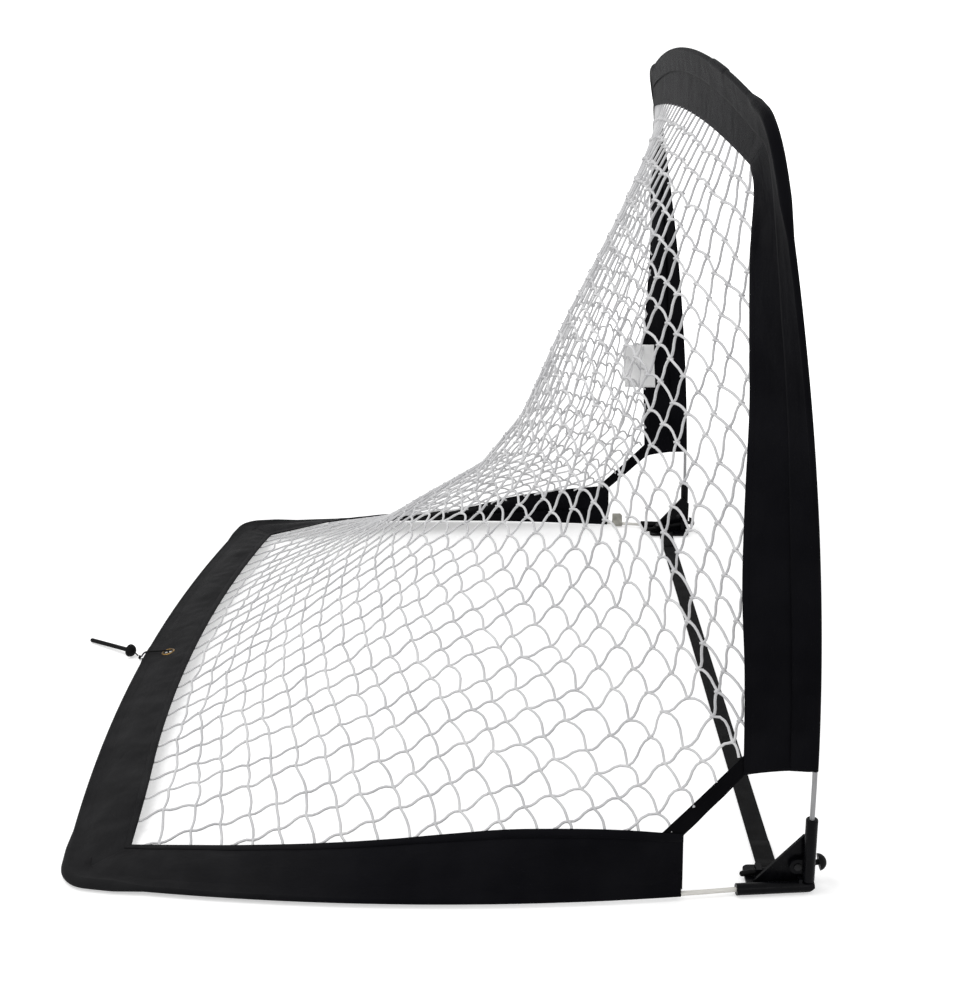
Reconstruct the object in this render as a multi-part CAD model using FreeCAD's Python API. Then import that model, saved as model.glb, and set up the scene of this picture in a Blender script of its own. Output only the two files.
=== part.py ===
import FreeCAD
import Part
import math
import os

# Folding hockey goal, in millimetres.
# X runs across the mouth, -Y is the mouth's side, +Y the back, +Z up.
# The pieces are drawn from the goal line, midway between the two front brackets.
# They are then moved together, so that the origin is on the ground under the middle of the whole goal.

# Hoops of bent rod
pole_d = 6.0
pole_fit = 0.1
mouth_width = 1200.0
mouth_height = 953.0
top_crown = 46.0
upright_inset = 8.0
upright_bow = 8.0
top_corner_across = 52.0
top_corner_up = 57.0
mouth_bend_radius = 4000.0
mouth_lean = 1.5
goal_depth = 953.0
back_crown = 45.0
rear_flare = 5.0
side_bow = 29.0
rear_corner_across = 45.0
rear_corner_along = 36.0
ferrule_wall = 0.8
ferrule_length = 50.0
top_ferrule_length = 95.0
top_joint_off = 277.0
elbow_d = 12.4
elbow_grip = 25.0
elbow_straight = 1.0

# Corner bracket: shoe on the ground and folding upright arm
socket_d = 14.5
shoe_length = 94.5
socket_toe_out = 5.0
socket_start = 14.0
arm_top = 101.0
arm_bottom = 16.0
arm_floor = 10.0
web_gap = 0.35
web_thickness = 4.0
web_height = 73.0
web_reach = 64.0
flange_width = 44.0
flange_reach = 72.0
flange_bottom = 2.2
flange_top = 6.2
heel_chamfer = 9.0
pivot_back = 13.0
pivot_height = 33.0
pivot_d = 5.2
pivot_running_gap = 0.05
lug_thickness = 5.7
lug_half_height = 10.0
rivet_dome_d = 9.0
rivet_dome_height = 3.0
rivet_tail_height = 1.4
stop_gap = 0.5
stop_length = 4.0
stop_height = 19.5

# Ground pegs
peg_d = 7.0
peg_length = 97.0
peg_head_d = 21.0
peg_head_height = 9.5
peg_slope = 11.0
peg_inset = 23.0
peg_head_seat = 24.0
peg_eye_gap = 0.35
peg_eye_wall = 3.2
peg_eye_length = 7.0
peg_front_eye = 2.0
peg_rear_eye = 52.0
peg_pulled_out = 8.0

# Ground strap
strap_width = 25.0
strap_thickness = 1.5
strap_floor_gap = 0.4
strap_back = 40.0
slot_inset = 33.0
slot_width = 4.0
strap_tail = 40.0
strap_ramp = 15.0

# Cloth sleeves and borders
cloth = 1.6
sleeve_gap = 0.15
sleeve_wall = 0.9
border_width = 82.0
border_belly = 4.0
seam_gap = 0.3
sleeve_bottom = 162.0
side_sleeve_start = 146.0
top_edge_drop = 81.0
top_edge_crown = 24.0
top_edge_back = 14.5
top_edge_inset = 108.0
rear_edge_inset = 72.0
rear_edge_from_back = 115.0
border_start_turn = 3.0
side_start_turn = 97.0
back_border_rise = 16.0

# Share of the mouth's height, then the border's turn from straight back to inward
upright_turns = [(0.3148, 5), (0.4197, 12), (0.4827, 28), (0.5352, 37), (0.6243, 50), (0.7135, 58),
                 (0.8027, 68), (0.8604, 77)]
# Share of the goal's depth, then the border's rise from flat inward to upright
left_side_turns = [(0.2413, 75), (0.3253, 62), (0.3736, 55), (0.4565, 36), (0.5247, 26), (0.6296, 16),
                   (0.7345, 9), (0.8395, 3)]
right_side_turns = [(0.2413, 75), (0.3253, 62), (0.3736, 54), (0.4565, 38), (0.5247, 31), (0.6296, 27),
                    (0.7345, 24), (0.8395, 20)]
left_corner_height = 8.0
right_corner_height = 24.0

# Net
net_cord = 3.2
net_gap = 3.3
net_across = 14
net_rows = 20
net_facets_across = 7
net_facets_along = 20
net_tension_top = 2.05
net_tension_drop = 0.5
band_rise = 40.0
band_run = 26.0

# Rear grommet, elastic and spare peg
grommet_from_back = 35.0
grommet_outer = 22.0
grommet_hole = 12.0
grommet_height = 2.4
elastic_d = 2.2
knot_d = 8.0
spare_peg_gap = 22.0
spare_peg_turn = -33.0
knot_gap = 0.5

# Tag and end collar
tag_width = 40.0
tag_length = 88.0
tag_thickness = 0.6
tag_height = 400.0
tag_off_seam = 2.7
tag_lap = 5.0
collar_length = 20.0
collar_d = 13.0
collar_height = 29.0
collar_thickness = 3.0
collar_corner = 6.0

# Sizes worked out from the ones above
pole_r = pole_d / 2
bore_r = pole_r + pole_fit
half_mouth = mouth_width / 2
socket_r = socket_d / 2
ferrule_r = bore_r + ferrule_wall
sleeve_inner = ferrule_r + sleeve_gap
sleeve_outer = sleeve_inner + sleeve_wall
elbow_r = elbow_d / 2
elbow_bore = bore_r + 2 * pole_fit
corner_inner = elbow_r + sleeve_gap
corner_outer = corner_inner + sleeve_wall
ground_pole_z = max(socket_r, corner_outer)
border_root = sleeve_outer + seam_gap
corner_root = corner_outer + seam_gap
top_end_z = mouth_height - top_crown
upright_end_z = top_end_z - top_corner_up
upright_end_x = half_mouth - upright_inset
top_end_x = upright_end_x - top_corner_across
half_rear = half_mouth + rear_flare
back_end_y = goal_depth - back_crown
side_end_y = back_end_y - rear_corner_along
sleeve_stop = elbow_grip + 2 + seam_gap
back_end_x = half_rear - rear_corner_across
shoe_end_y = shoe_length - socket_r
web_inner = half_mouth - socket_r - web_gap
web_face = web_inner - web_thickness
peg_x = half_mouth - peg_inset
top_edge_half = half_mouth - top_edge_inset
rear_edge_half = half_mouth - rear_edge_inset
rear_edge_back = goal_depth - rear_edge_from_back
grommet_back = goal_depth - grommet_from_back
net_lean = FreeCAD.Vector(0, 0.64, 0.77)

V = FreeCAD.Vector
UP = V(0, 0, 1)
ACROSS = V(1, 0, 0)


def unit(v):
    return V(v).normalize()


def leaned(shape):
    """Turn a piece built with a straight arm back by the mouth's lean, about the rivets."""
    turned = shape.copy()
    turned.rotate(V(0, pivot_back, pivot_height), V(-1, 0, 0), mouth_lean)
    return turned


def leaned_point(p):
    """The same turn for one point."""
    turn = FreeCAD.Rotation(V(-1, 0, 0), mouth_lean)
    centre = V(0, pivot_back, pivot_height)
    return centre + turn.multVec(p - centre)


def bend(z):
    """How far back the mouth hoop has bent at a height, before it leans."""
    return max(0, z - arm_top) ** 2 / (2 * mouth_bend_radius)


def arc(a, middle, b):
    return Part.Arc(a, middle, b).toShape()


def piece_of(edge, start, end):
    """The stretch of an arc between two distances from its start."""
    rate = (edge.LastParameter - edge.FirstParameter) / edge.Length
    stops = [edge.FirstParameter + rate * d for d in (start, (start + end) / 2, end)]
    return arc(*[edge.valueAt(t) for t in stops])


def distance_at(edge, axis, value):
    """Distance along an arc to where one coordinate has a value."""
    low, high = 0.0, edge.Length
    rate = (edge.LastParameter - edge.FirstParameter) / edge.Length
    rising = edge.valueAt(edge.LastParameter)[axis] > edge.valueAt(edge.FirstParameter)[axis]
    for _ in range(40):
        middle = (low + high) / 2
        if (edge.valueAt(edge.FirstParameter + rate * middle)[axis] < value) == rising:
            low = middle
        else:
            high = middle
    return middle


def point_at(edge, axis, value):
    rate = (edge.LastParameter - edge.FirstParameter) / edge.Length
    return edge.valueAt(edge.FirstParameter + rate * distance_at(edge, axis, value))


def tangent(edge, at_end):
    t = edge.LastParameter if at_end else edge.FirstParameter
    return unit(edge.tangentAt(t))


def rod(edge, radius):
    """A round bar along an arc."""
    start = edge.valueAt(edge.FirstParameter)
    ring = Part.Wire(Part.makeCircle(radius, start, tangent(edge, False)))
    return Part.Wire(edge).makePipeShell([ring], True, False)


def tube(edge, outer, inner):
    return rod(edge, outer).cut(rod(edge, inner))


def bar(a, b, radius):
    return Part.makeCylinder(radius, (b - a).Length, a, b - a)


def ball(centre, radius):
    return Part.makeSphere(radius, centre)


def box(low, high):
    return Part.makeBox(high.x - low.x, high.y - low.y, high.z - low.z, low)


def block(side, x0, x1, y0, y1, z0, z1):
    """A box between two distances from the middle, on the left (-1) or right (1) side."""
    return box(V(min(side * x0, side * x1), y0, z0), V(max(side * x0, side * x1), y1, z1))


def prism(points, along):
    return Part.Face(Part.makePolygon(points + [points[0]])).extrude(along)


def turn_at(before, corner, after, reach):
    """Radius, middle point and the two ends of the arc that rounds a corner from a reach away."""
    coming = unit(corner - before)
    going = unit(after - corner)
    half_turn = coming.getAngle(going) / 2
    radius = reach / math.tan(half_turn)
    middle = corner + unit(going - coming) * (radius / math.cos(half_turn) - radius)
    return radius, corner - coming * reach, middle, corner + going * reach


def rounded(points, reaches):
    """A path of straight runs joined by tangent arcs."""
    edges = []
    start = points[0]
    for before, corner, after, reach in zip(points, points[1:], points[2:], reaches):
        _, first, middle, last = turn_at(before, corner, after, reach)
        edges.append(Part.makeLine(start, first))
        edges.append(arc(first, middle, last))
        start = last
    return edges + [Part.makeLine(start, points[-1])]


def bent_rod(edges, radius):
    """A round bar along a path whose edges run on smoothly."""
    start = edges[0].valueAt(edges[0].FirstParameter)
    ring = Part.Wire(Part.makeCircle(radius, start, tangent(edges[0], False)))
    return Part.Wire(edges).makePipeShell([ring], True, False)


def cord(points, radius):
    """A cord along straight runs, with each arc as large as its two runs allow."""
    corners = list(zip(points, points[1:], points[2:]))
    reaches = [0.45 * min((b - a).Length, (c - b).Length) for a, b, c in corners]
    radii = [round(turn_at(*corner, reach)[0], 1) for corner, reach in zip(corners, reaches)]
    edges = rounded(points, reaches)
    print("cord radii", radii, "length", round(sum(e.Length for e in edges), 1))
    return bent_rod(edges, radius)


# Paths of the poles

def upright_path(side):
    start = V(side * half_mouth, 0, arm_top)
    end = V(side * upright_end_x, bend(upright_end_z), upright_end_z)
    middle_z = (arm_top + upright_end_z) / 2
    middle = V(side * (half_mouth - upright_inset / 2 + upright_bow), bend(middle_z), middle_z)
    return arc(start, middle, end)


def top_path():
    left = V(-top_end_x, bend(top_end_z), top_end_z)
    right = V(top_end_x, bend(top_end_z), top_end_z)
    return arc(left, V(0, bend(mouth_height), mouth_height), right)


def side_path(side):
    out = half_mouth + shoe_end_y * math.tan(math.radians(socket_toe_out))
    start = V(side * out, shoe_end_y, ground_pole_z)
    end = V(side * half_rear, side_end_y, ground_pole_z)
    middle = V(side * ((out + half_rear) / 2 + side_bow), (shoe_end_y + side_end_y) / 2, ground_pole_z)
    return arc(start, middle, end)


def back_path():
    left = V(-back_end_x, back_end_y, ground_pole_z)
    right = V(back_end_x, back_end_y, ground_pole_z)
    return arc(left, V(0, goal_depth, ground_pole_z), right)


def top_corner(side):
    upright = upright_path(side)
    top = top_path()
    start = V(side * upright_end_x, bend(upright_end_z), upright_end_z)
    end = V(side * top_end_x, bend(top_end_z), top_end_z)
    arriving = tangent(top, side > 0) * -side
    return start, tangent(upright, True), end, arriving


def rear_corner(side):
    back = back_path()
    start = V(side * half_rear, side_end_y, ground_pole_z)
    end = V(side * back_end_x, back_end_y, ground_pole_z)
    arriving = tangent(back, side > 0) * -side
    return start, tangent(side_path(side), True), end, arriving


def meeting(corner):
    """The point where the lines of a corner's two poles meet, or pass closest."""
    start, leaving, end, arriving = corner
    apart = start - end
    back = arriving * -1
    share = leaving.dot(back)
    rest = 1 - share ** 2
    first = start + leaving * ((share * back.dot(apart) - leaving.dot(apart)) / rest)
    second = end + back * ((back.dot(apart) - share * leaving.dot(apart)) / rest)
    return (first + second) * 0.5


def corner_reach(corner):
    """How far from the meeting point the elbow starts to turn: at the nearer pole's end."""
    point = meeting(corner)
    return min((point - corner[0]).Length, (point - corner[2]).Length) - elbow_straight


def bent_bar(corner, radius, grip):
    """A round bar round a corner, with a straight grip on each pole."""
    start, leaving, end, arriving = corner
    route = [start - leaving * grip, meeting(corner), end + arriving * grip]
    return bent_rod(rounded(route, [corner_reach(corner)]), radius)


def elbow(corner):
    start, leaving, end, arriving = corner
    solid = bent_bar(corner, elbow_r, elbow_grip)
    bores = [bar(start - leaving * (elbow_grip + 1), start, elbow_bore),
             bar(end, end + arriving * (elbow_grip + 1), elbow_bore)]
    return solid.cut(bores)


def corner_sleeve(corner):
    """The cloth pocket round an elbow: wider than the pockets along the poles, open at both ends."""
    start, leaving, end, arriving = corner
    solid = bent_bar(corner, corner_outer, elbow_grip + 2)
    hollow = bent_bar(corner, corner_inner, elbow_grip + 3)
    return solid.cut(hollow)


def corner_middle(corner):
    """The point halfway round an elbow."""
    return turn_at(corner[0], meeting(corner), corner[2], corner_reach(corner))[2]


# Poles

def socketed_pole(foot, mouth, path):
    """A rod that stands straight in its socket and bends from the socket's mouth on."""
    knuckle = ball(mouth, pole_r + pole_fit / 3)
    return knuckle.fuse([bar(foot, mouth, pole_r), rod(path, pole_r)])


def upright_pole(side):
    foot = V(side * half_mouth, 0, arm_bottom + arm_floor + 1)
    mouth = V(side * half_mouth, 0, arm_top)
    return socketed_pole(foot, mouth, upright_path(side))


def side_pole(side):
    path = side_path(side)
    mouth = path.valueAt(path.FirstParameter)
    along = V(side * math.sin(math.radians(socket_toe_out)), math.cos(math.radians(socket_toe_out)), 0)
    foot = mouth - along * (shoe_end_y - socket_start - 1)
    return socketed_pole(foot, mouth, path)


def part_pole(path, side, joint):
    """One of two rods that meet inside a ferrule at a distance along a path."""
    ends = (0, joint - 0.5) if side < 0 else (joint + 0.5, path.Length)
    return rod(piece_of(path, *ends), pole_r)


def ferrule(path, joint, length):
    return tube(piece_of(path, joint - length / 2, joint + length / 2), ferrule_r, bore_r)


def top_joint():
    return distance_at(top_path(), 0, -top_joint_off)


def back_joint():
    return back_path().Length / 2


# Bracket

def upright_arm(side):
    axis_foot = V(side * half_mouth, 0, arm_bottom)
    solid = Part.makeCylinder(socket_r, arm_top - arm_bottom, axis_foot)
    solid = solid.makeFillet(1.5, [e for e in solid.Edges if e.Closed and e.CenterOfMass.z > arm_top - 1])
    lug_inner = half_mouth - socket_r
    lug_outer = lug_inner + lug_thickness
    lug = block(side, lug_inner, lug_outer, 0, pivot_back,
                pivot_height - lug_half_height, pivot_height + lug_half_height)
    eye = Part.makeCylinder(lug_half_height, lug_thickness, V(side * lug_inner, pivot_back, pivot_height),
                            ACROSS * side)
    solid = solid.fuse([lug, eye])
    bore = Part.makeCylinder(bore_r, arm_top, V(side * half_mouth, 0, arm_bottom + arm_floor))
    pin = Part.makeCylinder(pivot_d / 2 + pivot_running_gap, lug_thickness + 2,
                            V(side * (lug_inner - 1), pivot_back, pivot_height), ACROSS * side)
    return solid.cut([bore, pin]).removeSplitter()


def peg_axis():
    """Direction of a peg from its head to its tip."""
    angle = math.radians(peg_slope)
    return V(0, math.cos(angle), -math.sin(angle))


def peg_seat(side):
    """Where the underside of a peg's head stands when it is home."""
    return V(side * peg_x, -socket_r - 2, peg_head_seat)


def peg_eye(side, front):
    """A square eye on the flange that the peg passes through."""
    seat = peg_seat(side)
    rear = front + peg_eye_length
    middle = (front + rear) / 2
    height = seat.z - (middle - seat.y) * math.tan(math.radians(peg_slope))
    reach = peg_d / 2 + peg_eye_gap + peg_eye_wall
    return block(side, peg_x - reach, peg_x + reach, front, rear, flange_bottom, height + reach)


def base_shoe(side):
    toe = math.tan(math.radians(socket_toe_out))
    heel = V(side * (half_mouth - socket_r * toe), -socket_r, ground_pole_z)
    mouth = V(side * (half_mouth + shoe_end_y * toe), shoe_end_y, ground_pole_z)
    socket = bar(heel, mouth, socket_r)
    web = prism([V(side * web_inner, -socket_r, flange_bottom), V(side * web_inner, web_reach, flange_bottom),
                 V(side * web_inner, web_reach, flange_top + 1), V(side * web_inner, socket_r, web_height),
                 V(side * web_inner, -socket_r, web_height)], ACROSS * (-side * web_thickness))
    flange = block(side, half_mouth - flange_width, half_mouth, -socket_r, flange_reach, flange_bottom, flange_top)
    corner = [e for e in flange.Edges if abs(e.CenterOfMass.x * side - half_mouth + flange_width) < 0.1
              and abs(e.CenterOfMass.z - (flange_bottom + flange_top) / 2) < 0.1]
    flange = flange.makeFillet(8, corner)
    sole = block(side, web_face, half_mouth, -socket_r, web_reach, 0, flange_top)
    stop = block(side, web_inner, half_mouth + socket_r - 2, socket_r + stop_gap,
                 socket_r + stop_gap + stop_length, ground_pole_z, stop_height)
    rib = prism([V(side * web_face, web_reach - 6, flange_top), V(side * (web_face - 9), web_reach - 6, flange_top),
                 V(side * web_face, web_reach - 6, flange_top + 5)], V(0, 4, 0))
    solid = socket.fuse([web, flange, sole, stop, rib, peg_eye(side, peg_front_eye), peg_eye(side, peg_rear_eye)])
    bore = bar(mouth - unit(mouth - heel) * (shoe_end_y - socket_start), mouth + V(side * toe, 1, 0) * 5, bore_r)
    heel_cut = prism([V(0, -socket_r - 1, -1), V(0, heel_chamfer - socket_r, -1),
                      V(0, -socket_r - 1, heel_chamfer)], ACROSS * (side * mouth_width))
    front_cut = prism([V(0, -socket_r - 1, web_height - 14), V(0, -socket_r - 1, web_height + 1),
                       V(0, socket_r, web_height + 1)], ACROSS * (side * mouth_width))
    slot_far = half_mouth - slot_inset
    slot = block(side, slot_far - slot_width, slot_far, strap_back - strap_width / 2 - 1,
                 strap_back + strap_width / 2 + 1, -1, flange_top + 1)
    pin = Part.makeCylinder(pivot_d / 2, web_thickness + 2, V(side * (web_inner + 1), pivot_back, pivot_height),
                            ACROSS * -side)
    seat = peg_seat(side)
    peg_way = bar(seat - peg_axis() * 5, seat + peg_axis() * peg_length, peg_d / 2 + peg_eye_gap)
    return solid.cut([bore, heel_cut, front_cut, slot, pin, peg_way]).removeSplitter()


def pivot_rivet(side):
    """Domed on the web's inner face, with a flat tail outside the arm's lug."""
    lug_outer = half_mouth - socket_r + lug_thickness
    length = lug_outer - web_face
    centre = V(side * web_face, pivot_back, pivot_height)
    shank = Part.makeCylinder(pivot_d / 2, length, centre, ACROSS * side)
    dome_r = rivet_dome_d / 2
    sphere_r = (dome_r ** 2 + rivet_dome_height ** 2) / (2 * rivet_dome_height)
    dome = ball(centre + ACROSS * (side * (sphere_r - rivet_dome_height)), sphere_r)
    dome = dome.common(Part.makeCylinder(dome_r, rivet_dome_height, centre, ACROSS * -side))
    tail_start = centre + ACROSS * (side * (length + 0.1))
    tail = Part.makeCylinder(dome_r, rivet_tail_height, tail_start, ACROSS * side)
    neck = Part.makeCylinder(pivot_d / 2, 0.2, tail_start - ACROSS * (side * 0.1), ACROSS * side)
    return shank.fuse([dome, neck, tail]).removeSplitter()


# Pegs

def peg(seat, along):
    """A mushroom-headed peg: its head's underside at the seat, its rod running along a direction."""
    rod_end = seat + along * (peg_length - peg_d / 2)
    shank = bar(seat, rod_end, peg_d / 2)
    head_r = peg_head_d / 2
    sphere_r = (head_r ** 2 + peg_head_height ** 2) / (2 * peg_head_height)
    head = ball(seat + along * (sphere_r - peg_head_height), sphere_r)
    head = head.common(bar(seat - along * peg_head_height, seat, head_r))
    return shank.fuse([ball(rod_end, peg_d / 2), head]).removeSplitter()


def ground_peg(side):
    out = peg_pulled_out if side < 0 else 0
    return peg(peg_seat(side) - peg_axis() * out, peg_axis())


# Ground strap

def ground_strap():
    low = strap_floor_gap
    high = low + strap_thickness
    y0 = strap_back - strap_width / 2
    y1 = strap_back + strap_width / 2
    slot_far = half_mouth - slot_inset
    leg_outer = slot_far - (slot_width - strap_thickness) / 2
    leg_inner = leg_outer - strap_thickness
    over = flange_top + 0.3
    bar_end = half_mouth - flange_width
    strap = box(V(-leg_outer, y0, low), V(leg_outer, y1, high))
    pieces = []
    for side in (-1, 1):
        pieces.append(block(side, leg_inner, leg_outer, y0, y1, low, over + strap_thickness))
        pieces.append(block(side, bar_end, leg_outer, y0, y1, over, over + strap_thickness))
        ramp_end = bar_end - strap_ramp
        pieces.append(prism([V(side * bar_end, y0, over), V(side * bar_end, y0, over + strap_thickness),
                             V(side * ramp_end, y0, high + strap_thickness), V(side * ramp_end, y0, high)],
                            V(0, strap_width, 0)))
        pieces.append(block(side, ramp_end - strap_tail, ramp_end, y0, y1, high, high + strap_thickness))
    return strap.fuse(pieces).removeSplitter()


# Cloth borders: each station is a root point beside the pole and a point on the inner edge

def upright_stations(side):
    path = upright_path(side)
    stations = []
    turns = [(share * mouth_height, turn) for share, turn in upright_turns]
    for height, turn in [(sleeve_bottom, border_start_turn)] + turns:
        a = math.radians(turn)
        inward = V(-side * math.sin(a), math.cos(a), 0)
        pole = point_at(path, 2, height)
        clear = corner_root if height == turns[-1][0] else border_root
        stations.append((pole + inward * clear, pole + inward * border_width))
    return stations + [top_mitre(side)]


def top_edge_point(x):
    z = mouth_height - top_edge_drop - top_edge_crown * (x / top_edge_half) ** 2
    return V(x, bend(z) + top_edge_back, z)


def top_mitre(side):
    edge = top_edge_point(side * top_edge_half)
    pole = corner_middle(top_corner(side))
    return pole + unit(edge - pole) * corner_root, edge


def top_stations():
    path = top_path()
    stations = [top_mitre(-1)]
    for share in (-0.86, -0.6, -0.3, 0, 0.3, 0.6, 0.86):
        pole = point_at(path, 0, share * top_end_x)
        edge = top_edge_point(share * top_edge_half)
        clear = corner_root if abs(share) > 0.8 else border_root
        stations.append((pole + unit(edge - pole) * clear, edge))
    return stations + [top_mitre(1)]


def side_stations(side):
    path = side_path(side)
    shares = left_side_turns if side < 0 else right_side_turns
    turns = [(share * goal_depth, turn) for share, turn in shares]
    stations = []
    for back, turn in [(side_sleeve_start, side_start_turn)] + turns:
        a = math.radians(turn)
        inward = V(-side * math.cos(a), 0, math.sin(a))
        pole = point_at(path, 1, back)
        stations.append((pole + inward * border_root, pole + inward * border_width))
    return stations + [rear_mitre(side)]


def rear_mitre(side):
    height = left_corner_height if side < 0 else right_corner_height
    edge = V(side * rear_edge_half, rear_edge_back, height)
    pole = corner_middle(rear_corner(side))
    return pole + unit(edge - pole) * corner_root, edge


def back_stations():
    path = back_path()
    stations = [rear_mitre(-1)]
    for share in (-0.82, -0.55, -0.27, 0, 0.27, 0.55, 0.82):
        pole = point_at(path, 0, share * back_end_x)
        flat = math.sqrt(border_width ** 2 - back_border_rise ** 2)
        edge = V(share * rear_edge_half, pole.y - flat, pole.z + back_border_rise)
        clear = corner_root if abs(share) > 0.8 else border_root
        stations.append((pole + unit(edge - pole) * clear, edge))
    return stations + [rear_mitre(1)]


def pulled_back(stations):
    """The same stations, with the two ends drawn back a little so that the next border has room."""
    ends = []
    for end, inner in ((stations[0], stations[1]), (stations[-1], stations[-2])):
        ends.append(tuple(p + unit(q - p) * (seam_gap / 2) for p, q in zip(end, inner)))
    return [ends[0]] + stations[1:-1] + [ends[1]]


def border(corners):
    """Cloth from station to station, with a soft belly halfway across every other one."""
    stations = pulled_back(corners)
    wires = []
    for i, (root, edge) in enumerate(stations):
        before = stations[max(i - 1, 0)]
        after = stations[min(i + 1, len(stations) - 1)]
        run = (after[0] + after[1]) - (before[0] + before[1])
        normal = unit((edge - root).cross(run))
        belly = normal * (border_belly if i % 2 and i < len(stations) - 1 else 0)
        half = normal * (cloth / 2)
        middle = (root + edge) * 0.5 + belly
        outline = [root - half, middle - half, edge - half, edge + half, middle + half, root + half]
        wires.append(Part.makePolygon(outline + [outline[0]]))
    return Part.makeLoft(wires, True, True)


def sheet(a, b, c, d):
    """A flat or gently twisted strip of cloth between two edges a-b and d-c."""
    normal = unit((c - a).cross(d - b)) * (cloth / 2)
    ends = []
    for p, q in ((a, d), (b, c)):
        ends.append(Part.makePolygon([p - normal, q - normal, q + normal, p + normal, p - normal]))
    return Part.makeLoft(ends, True, True)


# Inner edges that the net hangs from

def beyond(station):
    """Where the net's edge lies: just past the border's inner edge."""
    root, edge = station
    return edge + unit(edge - root) * net_gap


def at_height_on(points, height):
    for a, b in zip(points, points[1:]):
        if (a.z - height) * (b.z - height) <= 0:
            return a + (b - a) * ((height - a.z) / (b.z - a.z))


def at_depth_on(points, depth):
    for a, b in zip(points, points[1:]):
        if (a.y - depth) * (b.y - depth) <= 0:
            return a + (b - a) * ((depth - a.y) / (b.y - a.y))


def side_edge(side):
    """The net's side edge from the top corner down the upright, over the band and back along the ground."""
    upright = [leaned_point(beyond(s)) for s in upright_stations(side)]
    ground = [beyond(s) for s in side_stations(side)]
    band_top = at_height_on(upright, sleeve_bottom + band_rise)
    band_foot = at_depth_on(ground, side_sleeve_start + band_run)
    down = [p for p in reversed(upright) if p.z > band_top.z + 1]
    back = [p for p in ground if p.y > band_foot.y + 1]
    return down + [band_top, band_foot] + back


def along(points, share):
    """The point at a share of a line of points, by length."""
    lengths = [(b - a).Length for a, b in zip(points, points[1:])]
    left = share * sum(lengths)
    for a, b, length in zip(points, points[1:], lengths):
        if left <= length:
            return a + (b - a) * (left / length)
        left -= length
    return points[-1]


def net_surface():
    """A function giving the net's point at a share across and a share along.

    The net hangs between a straight pull from top to back and the path of its side edges.
    Away from the sides it follows the edges less and less, as a slack sheet does.
    """
    top = [leaned_point(beyond(s)) for s in top_stations()]
    back = [beyond(s) for s in back_stations()]
    sides = [side_edge(-1), side_edge(1)]

    def sag(side, share):
        path = sides[side]
        return along(path, share) - (path[0] * (1 - share) + path[-1] * share)

    def point(across, share):
        pull = along(top, across) * (1 - share) + along(back, across) * share
        off_middle = 2 * across - 1
        tension = net_tension_top - net_tension_drop * share
        slack = math.cosh(tension * off_middle) / math.cosh(tension)
        return pull + (sag(0, share) * (1 - across) + sag(1, share) * across) * slack

    return point


def net_sheet(point):
    """The net's cloth without its gaps, in flat facets, as thick as its cord."""
    columns = net_facets_across
    rows = net_facets_along
    grid = [[point(i / columns, j / rows) for i in range(columns + 1)] for j in range(rows + 1)]
    half = unit(net_lean) * (net_cord / 2)
    faces = []

    def triangle(a, b, c):
        faces.append(Part.Face(Part.makePolygon([a, b, c, a])))

    for j in range(rows):
        for i in range(columns):
            a, b, c, d = grid[j][i], grid[j][i + 1], grid[j + 1][i + 1], grid[j + 1][i]
            for lift in (half, half * -1):
                triangle(a + lift, b + lift, c + lift)
                triangle(a + lift, c + lift, d + lift)
    rim = grid[0] + [row[-1] for row in grid[1:]] + grid[-1][-2::-1] + [row[0] for row in grid[-2::-1]]
    for a, b in zip(rim, rim[1:]):
        triangle(a - half, b - half, b + half)
        triangle(a - half, b + half, a + half)
    solid = Part.Solid(Part.Shell(faces))
    return solid if solid.Volume > 0 else solid.reversed()


def net_gap_prism(point, corners):
    """One gap of the mesh, cut straight through along the net's lean."""
    direction = unit(net_lean)
    flat = []
    for across, share in corners:
        p = point(across, share)
        flat.append(p - direction * p.dot(direction))
    centre = flat[0] * 0
    for p in flat:
        centre = centre + p * (1 / len(flat))
    ring = flat + [flat[0]]
    perimeter = sum((b - a).Length for a, b in zip(ring, ring[1:]))
    area = Part.Face(Part.makePolygon(ring)).Area
    shrink = 1 - (net_cord / 2) * perimeter / (2 * area)
    inset = [centre + (p - centre) * shrink for p in flat]
    reach = 3 * mouth_width
    return prism([p - direction * reach for p in inset], direction * (2 * reach))


def net():
    point = net_surface()
    gaps = []
    for row in range(net_rows):
        for column in range(net_across):
            corners = [(column, row), (column + 1, row), (column + 1, row + 1), (column, row + 1)]
            gaps.append(net_gap_prism(point, [(c / net_across, r / net_rows) for c, r in corners]))
    print("gaps in the net", len(gaps))
    return net_sheet(point).cut(gaps)


def corner_band(side):
    """The diagonal binding from the upright border's foot to the side border's front end."""
    upright = [leaned_point(s[1]) for s in upright_stations(side)]
    ground = [s[1] for s in side_stations(side)]
    clear = V(0, 0.9, 0)
    low = V(0, 0, 0.9)
    return sheet(upright[0] + clear, ground[0] + low,
                 at_depth_on(ground, side_sleeve_start + band_run - 6) + low,
                 at_height_on(upright, sleeve_bottom + band_rise - 6) + clear)


# Small pieces

def grommet_frame():
    """The grommet's centre and the direction across the back border there."""
    path = back_path()
    pole = point_at(path, 0, 0)
    flat = math.sqrt(border_width ** 2 - back_border_rise ** 2)
    slope = V(0, -flat, back_border_rise).normalize()
    reach = (pole.y - grommet_back) / -slope.y
    return pole + slope * reach, slope


def rear_grommet():
    centre, slope = grommet_frame()
    normal = slope.cross(ACROSS).normalize()
    base = centre - normal * (grommet_height / 2)
    ring = Part.makeCylinder(grommet_outer / 2, grommet_height, base, normal)
    return ring.cut(Part.makeCylinder(grommet_hole / 2, grommet_height + 2, base - normal, normal))


def back_border():
    centre, slope = grommet_frame()
    normal = slope.cross(ACROSS).normalize()
    hole = Part.makeCylinder(grommet_outer / 2 + 0.05, 24, centre - normal * 12, normal)
    return border(back_stations()).cut(hole)


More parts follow.
